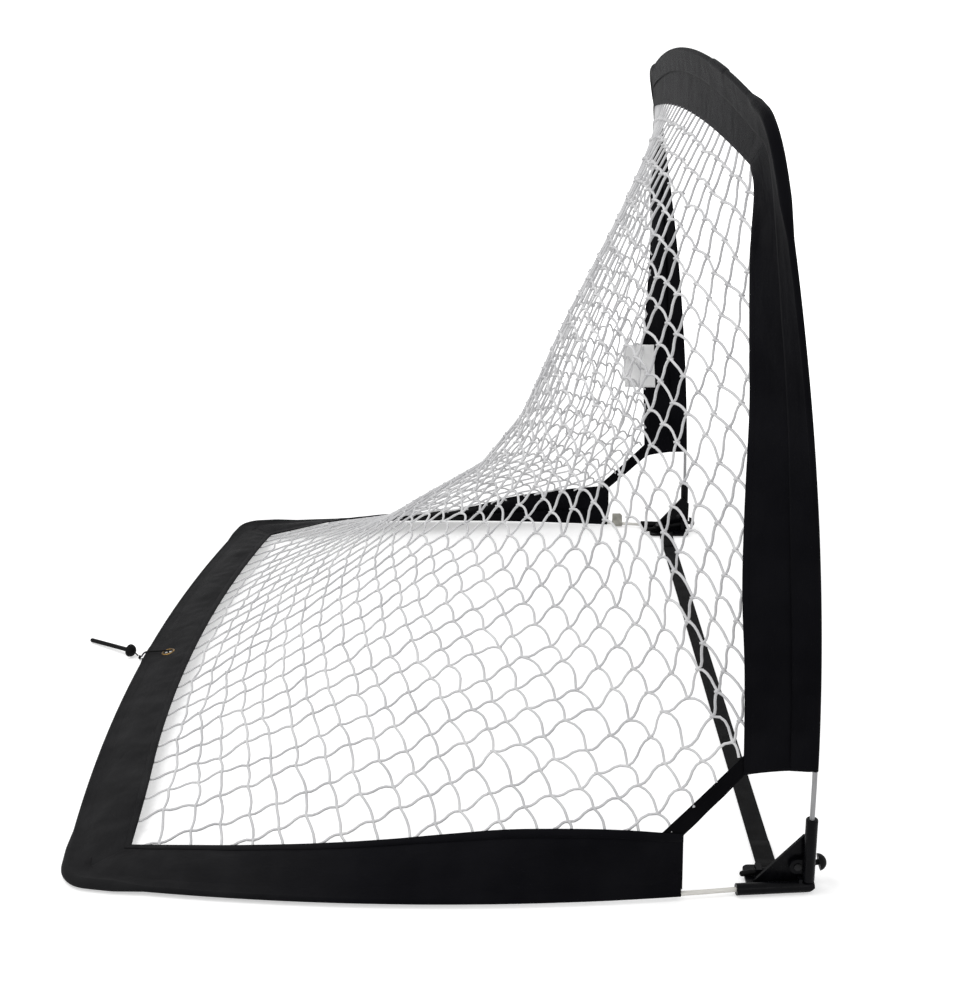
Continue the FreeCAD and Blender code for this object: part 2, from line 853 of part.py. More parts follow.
def elastic():
    """From the knot over the sleeve, down through the grommet and back under the pole to the knot."""
    ring = grommet_frame()[0]
    pole = V(0, goal_depth, ground_pole_z)
    knot = knot_centre()
    route = [knot + V(0, -3.1, 1.8), pole + V(0, 5.2, 6.5), pole + V(0, -4, 8.0), ring + V(0, 14, 1.8),
             ring + V(0, 4.5, 3.4), ring + V(0, -0.2, 1.7), ring + V(0, -0.7, -4.3), ring + V(0, 5.4, -7.8),
             V(0, ring.y + 18, elastic_d + 0.8), V(0, goal_depth - 2, elastic_d / 2 - 0.22),
             knot + V(0, -2.6, -2.4)]
    return cord(route, elastic_d / 2).fuse(ball(knot, knot_d / 2))


def knot_centre():
    return V(0, goal_depth + sleeve_outer + elastic_d + knot_d / 2 + 1.5, knot_d / 2 + 0.3)


def spare_peg():
    """The third peg, lying on the ground behind the goal at the end of the elastic."""
    turn = math.radians(spare_peg_turn)
    head_r = peg_head_d / 2
    drop = math.asin((head_r - peg_d / 2) / peg_length)
    flat = V(-math.sin(turn), math.cos(turn), 0)
    along_peg = flat * math.cos(drop) - UP * math.sin(drop)
    knot = knot_centre()
    seat = V(knot.x, knot.y, 0) + flat * spare_peg_gap + UP * (head_r + 0.4)
    crown = seat - along_peg * (peg_head_height - 1)
    tie = bar(knot + unit(crown - knot) * (knot_d / 2 + knot_gap), crown, elastic_d / 2)
    return peg(seat, along_peg).fuse(tie).removeSplitter()


def net_tag():
    """A bare care tag sewn into the right upright border's inner seam, on the outside of the net."""
    seam = [s[1] for s in upright_stations(1)]
    start = V(tag_off_seam, -tag_lap, 0)
    top = at_height_on(seam, tag_height) + start
    low = at_height_on(seam, tag_height - tag_length) + start
    span = unit(V(0.12, 1, 0)) * tag_width
    return prism([top, low, low + span, top + span], span.cross(top - low).normalize() * tag_thickness)


def end_collar():
    """A webbing collar round the pole at the right side sleeve's front end, with its tab standing up."""
    path = side_path(1)
    end = distance_at(path, 1, side_sleeve_start) - seam_gap
    ring = rod(piece_of(path, end - collar_length, end), collar_d / 2)
    rear = side_sleeve_start - 2 * seam_gap
    middle = point_at(path, 1, rear - collar_length / 2)
    half = collar_thickness / 2
    tab = box(V(middle.x - half, rear - collar_length, ground_pole_z),
              V(middle.x + half, rear, collar_height))
    front_top = [e for e in tab.Edges if abs(e.CenterOfMass.z - collar_height) < 0.01
                 and abs(e.CenterOfMass.y - rear + collar_length) < 0.01]
    tab = tab.makeFillet(collar_corner, front_top)
    hollow = rod(piece_of(path, end - collar_length - 5, end + 5), bore_r)
    return ring.fuse(tab).cut(hollow).removeSplitter()


def straight_sleeve(path, start, end):
    return tube(piece_of(path, start, end), sleeve_outer, sleeve_inner)


def bracket_pieces(side, word):
    return {"base_shoe_" + word: base_shoe(side),
            "upright_arm_" + word: leaned(upright_arm(side)),
            "pivot_rivet_" + word: pivot_rivet(side),
            "ground_peg_" + word: ground_peg(side)}


def rod_pieces(side, word):
    return {"upright_pole_" + word: leaned(upright_pole(side)),
            "top_pole_" + word: leaned(part_pole(top_path(), side, top_joint())),
            "top_elbow_" + word: leaned(elbow(top_corner(side))),
            "side_pole_" + word: side_pole(side),
            "back_pole_" + word: part_pole(back_path(), side, back_joint()),
            "rear_elbow_" + word: elbow(rear_corner(side))}


def cloth_pieces(side, word):
    upright = upright_path(side)
    ground = side_path(side)
    foot = distance_at(upright, 2, sleeve_bottom)
    front = distance_at(ground, 1, side_sleeve_start)
    return {"upright_sleeve_" + word: leaned(straight_sleeve(upright, foot, upright.Length - sleeve_stop)),
            "side_sleeve_" + word: straight_sleeve(ground, front, ground.Length - sleeve_stop),
            "top_corner_sleeve_" + word: leaned(corner_sleeve(top_corner(side))),
            "rear_corner_sleeve_" + word: corner_sleeve(rear_corner(side)),
            "upright_border_" + word: leaned(border(upright_stations(side))),
            "side_border_" + word: border(side_stations(side)),
            "corner_band_" + word: corner_band(side)}


def middle_pieces():
    top = top_path()
    back = back_path()
    return {"top_ferrule": leaned(ferrule(top, top_joint(), top_ferrule_length)),
            "back_ferrule": ferrule(back, back_joint(), ferrule_length),
            "top_sleeve": leaned(straight_sleeve(top, sleeve_stop, top.Length - sleeve_stop)),
            "back_sleeve": straight_sleeve(back, sleeve_stop, back.Length - sleeve_stop),
            "top_border": leaned(border(top_stations())),
            "back_border": back_border(),
            "ground_strap": ground_strap(),
            "rear_grommet": rear_grommet(),
            "elastic": elastic(),
            "spare_peg": spare_peg(),
            "net_tag": leaned(net_tag()),
            "end_collar": end_collar(),
            "net": net()}


def main():
    os.makedirs("parts", exist_ok=True)
    pieces = middle_pieces()
    for side, word in ((-1, "left"), (1, "right")):
        pieces.update(bracket_pieces(side, word))
        pieces.update(rod_pieces(side, word))
        pieces.update(cloth_pieces(side, word))
    boxes = [shape.optimalBoundingBox() for shape in pieces.values()]
    middle_y = (min(b.YMin for b in boxes) + max(b.YMax for b in boxes)) / 2
    print("goal line at y", round(-middle_y, 4), "back of the goal at y", round(goal_depth - middle_y, 4))
    for name, shape in sorted(pieces.items()):
        shape.translate(V(0, -middle_y, 0))
        shape.exportStep("parts/" + name + ".step")
        print(name, len(shape.Solids), "solid", round(shape.Volume / 1000, 2), "cm3", "valid", shape.isValid())


main()
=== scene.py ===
# %% [markdown]
# # A folding hockey goal
# Two hoops of thin bent rod carry black cloth borders, and a white net hangs between the borders.
# The hard pieces come from the engineering model. The cloth, the net and the small soft pieces are made
# here. Every length is in metres, and the goal's own measures start midway between its two front feet.

# %% Load the hard pieces
import bpy
import bmesh
import math
import numpy as np
from mathutils import Matrix, Vector, noise


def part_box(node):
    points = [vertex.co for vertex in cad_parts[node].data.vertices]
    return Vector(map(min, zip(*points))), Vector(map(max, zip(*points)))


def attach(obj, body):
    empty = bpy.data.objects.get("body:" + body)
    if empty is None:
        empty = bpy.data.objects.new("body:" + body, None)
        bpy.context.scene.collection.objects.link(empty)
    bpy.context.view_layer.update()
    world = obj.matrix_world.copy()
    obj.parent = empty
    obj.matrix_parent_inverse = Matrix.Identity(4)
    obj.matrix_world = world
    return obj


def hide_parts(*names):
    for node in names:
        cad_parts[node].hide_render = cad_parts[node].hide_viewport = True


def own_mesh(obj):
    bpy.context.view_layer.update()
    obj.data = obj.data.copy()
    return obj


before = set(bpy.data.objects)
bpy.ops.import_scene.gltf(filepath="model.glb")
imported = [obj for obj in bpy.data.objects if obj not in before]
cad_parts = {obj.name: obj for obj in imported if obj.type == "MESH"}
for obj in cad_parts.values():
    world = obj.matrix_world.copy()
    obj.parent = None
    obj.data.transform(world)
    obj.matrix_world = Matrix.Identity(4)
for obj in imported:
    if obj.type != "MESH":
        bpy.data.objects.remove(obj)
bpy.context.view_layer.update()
strap_low, strap_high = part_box("ground_strap")
STRAP_BACK = 0.040  # from the goal line to the middle of the ground strap
GOAL_LINE = Vector((0, (strap_low.y + strap_high.y) / 2 - STRAP_BACK, 0))

# %% [markdown]
# ## The camera
# The picture was taken from the goal's left side, a little above it and nearly level with the mouth.
# A lens of 48.7 mm on a 36 mm sensor gives the same perspective, so near and far feet keep their sizes.
# The camera's three axes are worked out from how far it looks down and how far it turns.

# %% Camera
def put(name, data):
    """A new object in the scene that shows the given data."""
    made = bpy.data.objects.new(name, data)
    bpy.context.scene.collection.objects.link(made)
    return made


def place_camera(place, down, turn, lens):
    down, turn = math.radians(down), math.radians(turn)
    forward = Vector((math.cos(down) * math.cos(turn), math.cos(down) * math.sin(turn), -math.sin(down)))
    right = Vector((math.sin(turn), -math.cos(turn), 0))
    up = right.cross(forward)
    camera = put("camera", bpy.data.cameras.new("camera"))
    turned = Matrix((right, up, -forward)).transposed().to_4x4()
    camera.matrix_world = Matrix.Translation(Vector(place)) @ turned
    camera.data.lens = lens
    camera.data.sensor_width = 36
    bpy.context.scene.camera = camera


place_camera(Vector((-1.9529, 0.3664, 0.9972)) + GOAL_LINE, down=19.7007, turn=0.7089, lens=48.72)

# %% [markdown]
# ## The lines of the two hoops
# Each hoop is a few shallow bows joined by round corners. A bow through three points is one short formula,
# and a corner is one Bezier arc. The lines are kept as rows of points, so that pockets, borders and the net
# can follow them by distance.

# %% Bows and corners
BOW, TURN = 160, 40  # how many points a bow and a corner have
CORNER_CLEAR = 0.001


def unit(v):
    return v / np.linalg.norm(v, axis=-1, keepdims=True)


def bow(first, middle, last):
    """A shallow curve through three points."""
    t = np.linspace(0, 1, BOW)[:, None]
    first, middle, last = np.array(first), np.array(middle), np.array(last)
    return first * (1 - t) * (1 - 2 * t) + middle * 4 * t * (1 - t) + last * t * (2 * t - 1)


def round_corner(arriving, leaving):
    """The bend between two bows, tangent to both, as the elbow inside the cloth has it."""
    start, end = arriving[-1], leaving[0]
    ahead, behind = unit(arriving[-1] - arriving[-2]), unit(leaving[0] - leaving[1])
    apart, share = start - end, ahead @ behind
    first = start + ahead * ((share * (behind @ apart) - ahead @ apart) / (1 - share ** 2))
    second = end + behind * ((behind @ apart - share * (ahead @ apart)) / (1 - share ** 2))
    corner = (first + second) / 2
    reach = min(np.linalg.norm(corner - start), np.linalg.norm(corner - end)) - CORNER_CLEAR
    turn = math.acos(-share)
    pull = 4 / 3 * math.tan(turn / 4) * reach / math.tan(turn / 2)
    a, d = corner - ahead * reach, corner - behind * reach
    b, c = a + ahead * pull, d + behind * pull
    t = np.linspace(0, 1, TURN)[:, None]
    return a * (1 - t) ** 3 + b * 3 * t * (1 - t) ** 2 + c * 3 * t ** 2 * (1 - t) + d * t ** 3


def distances(points):
    """How far along a row of points each point is."""
    return np.concatenate([[0], np.cumsum(np.linalg.norm(np.diff(points, axis=0), axis=1))])


def at(where, table_where, table_points):
    """Points at given distances along a row of points."""
    return np.stack([np.interp(where, table_where, table_points[:, k]) for k in range(3)], axis=-1)

# %% [markdown]
# ### Mouth hoop and ground hoop
# The standing hoop bends gently back as it rises and leans 1.5 degrees about the rivets of the feet. The
# leaning is done last, so that everything on the hoop can be laid out as if it stood straight.

# %% The two lines
MOUTH_HEIGHT, DEPTH = 0.953, 0.953  # to the middles of the top rod and the back rod
TOP_HALF, BACK_HALF = 0.54, 0.56  # half the lengths of those two bows
BORDER = 0.082
FOOT_TOP, BEND_RADIUS = 0.101, 4  # where the uprights start to bend, and how gently
RIVET_Y, RIVET_Z = 0.013, 0.033
ROD_Z = 0.00725  # the height of the rods on the ground


def bend(z):
    return np.maximum(0, z - FOOT_TOP) ** 2 / (2 * BEND_RADIUS)


def standing(x, z):
    """A point of the mouth hoop before it leans."""
    return x, bend(z), z


def lean(points):
    angle = math.radians(1.5)
    y, z = points[..., 1] - RIVET_Y, points[..., 2] - RIVET_Z
    turned = np.array(points, float)
    turned[..., 1] = RIVET_Y + y * math.cos(angle) + z * math.sin(angle)
    turned[..., 2] = RIVET_Z - y * math.sin(angle) + z * math.cos(angle)
    return turned


def mirrored(points):
    """The same row on the other side, in the opposite order."""
    return (points * [-1, 1, 1])[::-1]


left_upright = bow(standing(-0.6, FOOT_TOP), standing(-0.604, 0.4755), standing(-0.592, 0.85))
top_bar = bow(standing(-TOP_HALF, 0.907), standing(0, MOUTH_HEIGHT), standing(TOP_HALF, 0.907))
top_turn = round_corner(left_upright, top_bar)
mouth_line = np.concatenate([left_upright, top_turn, top_bar, mirrored(top_turn), mirrored(left_upright)])

left_side = bow((-0.60763, 0.08725, ROD_Z), (-0.63532, 0.479625, ROD_Z), (-0.605, 0.872, ROD_Z))
back_bar = bow((-BACK_HALF, 0.908, ROD_Z), (0, DEPTH, ROD_Z), (BACK_HALF, 0.908, ROD_Z))
back_turn = round_corner(left_side, back_bar)
ground_line = np.concatenate([left_side, back_turn, back_bar, mirrored(back_turn), mirrored(left_side)])

mouth_run, ground_run = distances(mouth_line), distances(ground_line)
print("mouth hoop", round(mouth_run[-1], 3), "m, ground hoop", round(ground_run[-1], 3), "m")

# %% [markdown]
# ## Where the borders reach
# A border is a strip of cloth 82 mm wide. Its outer edge follows the rod and its inner edge carries the
# net. It turns on its way: at the foot of an upright it points straight back, and near the top inward. On
# the ground it stands on edge at the front and lies flat at the back. A few stations, read from the
# photograph, say where the inner edge is, and a smooth curve joins them.

# %% Inner edges of the borders
# a height and the turn from straight back, then a depth and the rise from flat, in degrees
UPRIGHT_TURNS = [(0.17, 3), (0.3, 5), (0.4, 12), (0.46, 28), (0.51, 37), (0.595, 50), (0.68, 58),
                 (0.765, 68), (0.82, 77)]
LEFT_RISES = [(0.155, 89), (0.23, 75), (0.31, 62), (0.356, 55), (0.435, 36), (0.5, 26), (0.6, 16), (0.7, 9),
              (0.8, 3)]
RIGHT_RISES = [(0.155, 89), (0.23, 75), (0.31, 62), (0.356, 54), (0.435, 38), (0.5, 31), (0.6, 27),
               (0.7, 21), (0.8, 8)]
TOP_INNER, BACK_INNER = 0.492, 0.528  # from the middle to the inner end of a mitre


def smooth_edge(stations):
    """A smooth curve through (distance, point) stations, as a fine table of distances and points."""
    run = np.array([s[0] for s in stations])
    points = np.array([s[1] for s in stations])
    slopes = np.gradient(points, run, axis=0)
    fine = np.linspace(run[0], run[-1], 240)
    k = np.clip(np.searchsorted(run, fine, side="right") - 1, 0, len(run) - 2)
    gap = (run[k + 1] - run[k])[:, None]
    t = (fine[:, None] - run[k][:, None]) / gap
    curve = ((2 * t ** 3 - 3 * t ** 2 + 1) * points[k] + (t ** 3 - 2 * t ** 2 + t) * gap * slopes[k]
             + (3 * t ** 2 - 2 * t ** 3) * points[k + 1] + (t ** 3 - t ** 2) * gap * slopes[k + 1])
    return fine, curve


def top_edge_point(x):
    z = MOUTH_HEIGHT - 0.081 - 0.024 * (x / TOP_INNER) ** 2
    return np.array([x, bend(z) + 0.0145, z])


def half_of(line, run, side):
    """The half of a hoop on one side, as distances and points."""
    middle = run[-1] / 2
    chosen = run <= middle if side < 0 else run >= middle
    return run[chosen], line[chosen]


def foot_stations(line, run, side, axis, turns, aim):
    """Stations beside one foot of a hoop, at heights or depths, each with the border aimed by its turn."""
    near_run, near = half_of(line, run, side)
    if side > 0:
        near_run, near = near_run[::-1], near[::-1]
    stations = []
    for value, turn in turns:
        where = np.interp(value, near[:, axis], near_run)
        rod = at(where, run, line)
        stations.append((where, rod + aim(side, math.radians(turn)) * BORDER))
    return stations


def upright_aim(side, turn):
    return np.array([-side * math.sin(turn), math.cos(turn), 0])


def side_aim(side, turn):
    return np.array([-side * math.cos(turn), 0, math.sin(turn)])


def joined(left, middle, right):
    """Edge curves of one hoop's three borders, split where the corners are mitred."""
    parts = [left + middle[:1], middle, middle[-1:] + right[::-1]]
    return [smooth_edge(part) for part in parts]


corner_run = mouth_run[BOW + TURN // 2]
top_stations = [(corner_run, top_edge_point(-TOP_INNER))]
for share in (-0.86, -0.6, -0.3, 0, 0.3, 0.6, 0.86):
    where = np.interp(share * TOP_HALF, mouth_line[BOW:-BOW, 0], mouth_run[BOW:-BOW])
    top_stations.append((where, top_edge_point(share * TOP_INNER)))
top_stations.append((mouth_run[-1] - corner_run, top_edge_point(TOP_INNER)))
mouth_edges = joined(foot_stations(mouth_line, mouth_run, -1, 2, UPRIGHT_TURNS, upright_aim), top_stations,
                     foot_stations(mouth_line, mouth_run, 1, 2, UPRIGHT_TURNS, upright_aim))

rear_run = ground_run[BOW + TURN // 2]
back_stations = [(rear_run, np.array([-BACK_INNER, 0.838, 0.008]))]
for share in (-0.82, -0.55, -0.27, 0, 0.27, 0.55, 0.82):
    where = np.interp(share * BACK_HALF, ground_line[BOW:-BOW, 0], ground_run[BOW:-BOW])
    rod = at(where, ground_run, ground_line)
    back_stations.append((where, np.array([share * BACK_INNER, rod[1] - 0.0804, rod[2] + 0.016])))
back_stations.append((ground_run[-1] - rear_run, np.array([BACK_INNER, 0.838, 0.011])))
ground_edges = joined(foot_stations(ground_line, ground_run, -1, 1, LEFT_RISES, side_aim), back_stations,
                      foot_stations(ground_line, ground_run, 1, 1, RIGHT_RISES, side_aim))
print("borders run", [round(e[0][-1] - e[0][0], 3) for e in mouth_edges + ground_edges])

# %% [markdown]
# ## From a grid to cloth
# Each sheet of cloth starts as Blender's own grid, whose points are then moved onto the surface. The grid
# brings a UV map, which is rewritten in metres along and across the cloth, so that the weave and the
# stitches keep their real size. A Solidify modifier gives the cloth its thickness.

# %% Cloth helpers
def finished(name, bm, *materials):
    """The mesh of a bmesh, with its materials."""
    mesh = bpy.data.meshes.new(name)
    bm.to_mesh(mesh)
    bm.free()
    for material in materials:
        mesh.materials.append(material)
    return mesh


def show(name, mesh, body, *nodes):
    """Put a finished mesh in the scene, on a body, in place of the nodes that it stands for."""
    piece = put(name, mesh)
    for face in mesh.polygons:
        face.use_smooth = True
    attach(piece, body)
    if nodes:
        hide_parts(*nodes)
    return piece


def metres(along, across):
    """The UV of a grid, from how far each of its rows and columns lies from the first."""
    return np.stack(np.broadcast_arrays(along[:, None], across[None]), axis=-1)


def cloth(name, points, uv, body, nodes, thickness, material):
    """A sheet whose grid point (i, j) lies at points[i, j], with its UV in metres."""
    rows, columns = points.shape[:2]
    bm = bmesh.new()
    bmesh.ops.create_grid(bm, x_segments=columns - 1, y_segments=rows - 1, size=0.5, calc_uvs=True)
    bm.verts.ensure_lookup_table()
    layer = bm.loops.layers.uv.verify()
    for vert in bm.verts:
        i, j = round((vert.co.y + 0.5) * (rows - 1)), round((vert.co.x + 0.5) * (columns - 1))
        vert.co = Vector(points[i, j]) + GOAL_LINE
        for loop in vert.link_loops:
            loop[layer].uv = uv[i, j]
    piece = show(name, finished(name, bm, material), body, *nodes)
    wall = piece.modifiers.new("thickness", "SOLIDIFY")
    wall.thickness, wall.offset = thickness, 0
    return piece


def ripple(points, size, seed):
    """Soft smooth noise between -1 and 1 for a whole grid of points."""
    flat = points.reshape(-1, 3)
    values = [noise.noise(Vector(p) / size + Vector((seed, 0, 0))) for p in flat]
    return np.array(values).reshape(points.shape[:-1])

# %% [markdown]
# ## Colours and nodes
# One function turns an sRGB hex value into linear numbers, and one adds any node with its settings, values
# and links. The others draw what several materials share: drifting tones, waves and relief.

# %% Material helpers
def hex_colour(text):
    parts = [int(text[i:i + 2], 16) / 255 for i in (0, 2, 4)]
    return [c / 12.92 if c <= 0.04045 else ((c + 0.055) / 1.055) ** 2.4 for c in parts] + [1.0]


def add(tree, kind, settings=None, **inputs):
    """Add a node. Inputs are given by name, with _ for a space, as a number, a colour or a link."""
    made = tree.nodes.new("ShaderNode" + kind)
    for name, value in (settings or {}).items():
        setattr(made, name, value)
    for name, value in inputs.items():
        key = name[1:] if name[0] == "i" and name[1:].isdigit() else name.replace("_", " ")
        socket = made.inputs[int(key) if key.isdigit() else key]
        if isinstance(value, bpy.types.NodeSocket):
            tree.links.new(value, socket)
        else:
            socket.default_value = value
    return made


def new_material(name, roughness, coordinates="Object", **sockets):
    """A plain material, with its numbers set on the shader, and the coordinates for its patterns."""
    material = bpy.data.materials.new(name)
    material.use_nodes = True
    tree = material.node_tree
    shader = tree.nodes["Principled BSDF"]
    shader.inputs["Roughness"].default_value = roughness
    for socket, value in sockets.items():
        shader.inputs[socket.replace("_", " ")].default_value = value
    return material, tree, shader, add(tree, "TexCoord").outputs[coordinates]


def mottled(tree, coordinates, size, dark, light):
    """A colour that drifts between two tones over patches of a size in metres."""
    cloud = add(tree, "TexNoise", Vector=coordinates, Scale=1 / size, Detail=3.0)
    ramp = add(tree, "ValToRGB", Fac=cloud.outputs["Fac"])
    for stop, position, tone in zip(ramp.color_ramp.elements, (0.35, 0.65), (dark, light)):
        stop.position, stop.color = position, hex_colour(tone)
    return ramp.outputs["Color"]


def tinted(tree, shader, *pattern):
    tree.links.new(mottled(tree, *pattern), shader.inputs["Base Color"])


def waves(tree, place, direction, spacing, **more):
    """Parallel waves a distance apart. At a scale of 1 the texture repeats every pi / 10."""
    return add(tree, "TexWave", {"bands_direction": direction}, Vector=place,
               Scale=math.pi / 10 / spacing, **more).outputs["Fac"]


def bumped(tree, shader, height, distance, strength=1.0, under=None):
    """Turn a height pattern into shading relief of a real depth, over another one if given."""
    made = add(tree, "Bump", Height=height, Distance=distance, Strength=strength)
    if under:
        tree.links.new(under, made.inputs["Normal"])
    tree.links.new(made.outputs["Normal"], shader.inputs["Normal"])
    return made.outputs["Normal"]


def math_node(tree, operation, first, second=0.0):
    return add(tree, "Math", {"operation": operation}, i0=first, i1=second).outputs[0]

# %% [markdown]
# ### Coated polyester cloth
# The borders are woven polyester with a thin coating on its back. The yarns lie 0.45 mm apart, which is
# finer than one pixel here, so the weave is drawn at 1.3 mm to show as a faint grain. Slack cloth also has
# soft creases a few centimetres long, and rows of lockstitch 3 mm long hold the pocket and the hem.

# %% Border cloth
WEAVE, STITCH, THREAD = 0.0013, 0.0034, 0.0012


def stitch_rows(tree, along, across, rows):
    """Height of stitches that run along the cloth at given distances across it."""
    beat = math_node(tree, "FRACT", math_node(tree, "DIVIDE", along, STITCH))
    dash = math_node(tree, "GREATER_THAN", beat, 0.25)
    total = 0.0
    for row in rows:
        off = math_node(tree, "ABSOLUTE", math_node(tree, "SUBTRACT", across, row))
        total = math_node(tree, "ADD", math_node(tree, "LESS_THAN", off, THREAD / 2), total)
    return math_node(tree, "MULTIPLY", dash, total)


def border_cloth(name, dark, light, rows):
    material, tree, shader, place = new_material(name, 0.55, "UV", Specular_IOR_Level=0.013,
                                                 Sheen_Weight=0.01, Sheen_Roughness=0.4)
    parts = add(tree, "SeparateXYZ", Vector=place)
    weave = math_node(tree, "MULTIPLY", waves(tree, place, "X", WEAVE), waves(tree, place, "Y", WEAVE))
    crease = add(tree, "TexNoise", Vector=add(tree, "Mapping", Vector=place, Scale=(1, 2.2, 1)).outputs[0],
                 Scale=22.0, Detail=2.5, Distortion=0.6)
    soft = bumped(tree, shader, crease.outputs["Fac"], 0.006, 0.3)
    thread = bumped(tree, shader, weave, 0.00025, 0.7, soft)
    stitches = stitch_rows(tree, parts.outputs["X"], parts.outputs["Y"], rows)
    bumped(tree, shader, stitches, 0.0006, 0.9, thread)
    # painted light: the cloth's colour turns from black to a lit grey toward the back, where flat cloth
    # faces the lamp above
    back = add(tree, "SeparateXYZ", Vector=add(tree, "TexCoord").outputs["Object"]).outputs["Y"]
    painted_light_toward_back = add(tree, "MapRange", Value=back, From_Min=0.02, From_Max=0.34).outputs["Result"]
    black = mottled(tree, place, 0.09, dark, light)
    grey = mottled(tree, place, 0.05, "1f1f20", "272728")
    mixed = add(tree, "Mix", {"data_type": "RGBA"}, i0=painted_light_toward_back, i6=black, i7=grey)
    tree.links.new(mixed.outputs[2], shader.inputs["Base Color"])
    return material


# coated polyester: nearly black, with painted light that greys it toward the back, where it lies flat on
# the ground under the lamp above
flap_cloth = border_cloth("coated_polyester_border", "0b0b0e", "121215", (0.0745,))
pocket_cloth = border_cloth("coated_polyester_pocket", "0a0a0d", "111114", (0.003, 0.0065))
# folded tape of the same cloth, a shade denser
band_cloth = border_cloth("coated_polyester_binding", "09090b", "101012", (0.003,))

# %% [markdown]
# ## Pockets round the rods
# The outer edge of each border is folded round the rod and stitched down 29 mm further in, so its section
# is a long drop. Sweeping one drop along the hoop would make a tube without a seam, so the section is kept
# open, as the real cloth is: it starts at one stitch line, goes round the rod and ends at the other.

# %% Pocket strips
POCKET_LIP = 0.029  # from the rod to the stitch line
POCKET, AT_CORNER = 0.0036, 0.0030  # the pocket's radius at a rod, and what an elbow adds to it


def drop_section(radius):
    """Points of the pocket's section: distance toward the border's inner edge, and to its side."""
    lip = [(POCKET_LIP, 0.00068), (0.026, 0.00078), (0.021, 0.0012), (0.015, 0.0019), (0.010, 0.0028)]
    turns = np.radians(np.linspace(48, 312, 15))
    ring = [(radius * math.cos(a), radius * math.sin(a)) for a in turns]
    return np.array(lip + ring + [(a, -b) for a, b in reversed(lip)])


def near(value, middle, half, soft):
    """1 inside a stretch of a line and 0 outside it, with soft ends."""
    return np.clip((half + soft - np.abs(value - middle)) / soft, 0, 1)


def pocket_points(line, run, edges, start, corner, elbow, ferrule, joint, bump, step=0.0055):
    """The grid of a hoop's pocket, which is wider over the two elbows and over the ferrule."""
    end = run[-1] - start
    where = np.linspace(start, end, int((end - start) / step))
    rod = at(where, run, line)
    wide = np.maximum(near(where, corner, elbow, 0.04), near(where, run[-1] - corner, elbow, 0.04))
    radii = POCKET + AT_CORNER * wide + bump * near(rod[:, 0], ferrule, joint, 0.006)
    travel = unit(np.gradient(rod, axis=0))
    inner = at(where, np.concatenate([e[0] for e in edges]), np.concatenate([e[1] for e in edges]))
    inward = inner - rod
    inward = unit(inward - travel * np.sum(inward * travel, axis=1, keepdims=True))
    sideways = np.cross(inward, travel)
    sections = [drop_section(radius) for radius in radii]
    points = np.array([rod[k] + section[:, :1] * inward[k] + section[:, 1:] * sideways[k]
                       for k, section in enumerate(sections)])
    slack = ripple(points, 0.035, 3.0) * np.clip(sections[-1][:, 0] / 0.02, 0, 1) * 0.0009
    return points + sideways[:, None] * slack[..., None], metres(where, distances(drop_section(0.005)))


def both(*names):
    return [name + side for name in names for side in ("_left", "_right")]


foot_run = mouth_edges[0][0][0] - 0.002
points, uv = pocket_points(mouth_line, mouth_run, mouth_edges, foot_run, corner=corner_run, elbow=0.07,
                           ferrule=-0.277, joint=0.047, bump=0.0012)
mouth_nodes = ["top_sleeve"] + both("upright_sleeve", "top_corner_sleeve")
mouth_pocket = cloth("mouth_pocket", lean(points), uv, "mouth", mouth_nodes, 0.0004, pocket_cloth)

side_run = ground_edges[0][0][0]
points, uv = pocket_points(ground_line, ground_run, ground_edges, side_run, corner=rear_run, elbow=0.06,
                           ferrule=0, joint=0.024, bump=0.0007)
points[..., 2] = np.maximum(points[..., 2], 0.0006)
ground_nodes = ["back_sleeve"] + both("side_sleeve", "rear_corner_sleeve")
ground_pocket = cloth("ground_pocket", points, uv, "base", ground_nodes, 0.0004, pocket_cloth)

# %% [markdown]
# ## The borders themselves
# A border starts inside its pocket and ends in a hem, where the cloth is folded back on itself by 10 mm.
# The grid follows that fold, so the inner edge is really two layers thick. Between the rod and the hem the
# cloth bellies a little and carries shallow creases, which are moves of its points along its own normal.
# Both fade toward the ends of a strip, so that two borders meet at their mitre.

# %% Borders
HEM, LAYER = 0.010, 0.0011
FROM_ROD = 0.0062  # where a border starts inside its pocket
PAST_MITRE, CALM_END = 0.002, 0.045


def across_profile(width):
    """Distance from the rod and offset of each column of a border, with the hem's fold at the end."""
    flat = [(d, 0.0) for d in np.linspace(FROM_ROD, width - 0.0006, 20)]
    fold = [(width, 0.0005), (width - 0.0006, LAYER), (width - 0.004, LAYER), (width - HEM, LAYER)]
    return np.array(flat + fold)


USUAL = across_profile(BORDER)
WIDTH_SHARE = np.clip(USUAL[:, 0] / BORDER, 0, 1)


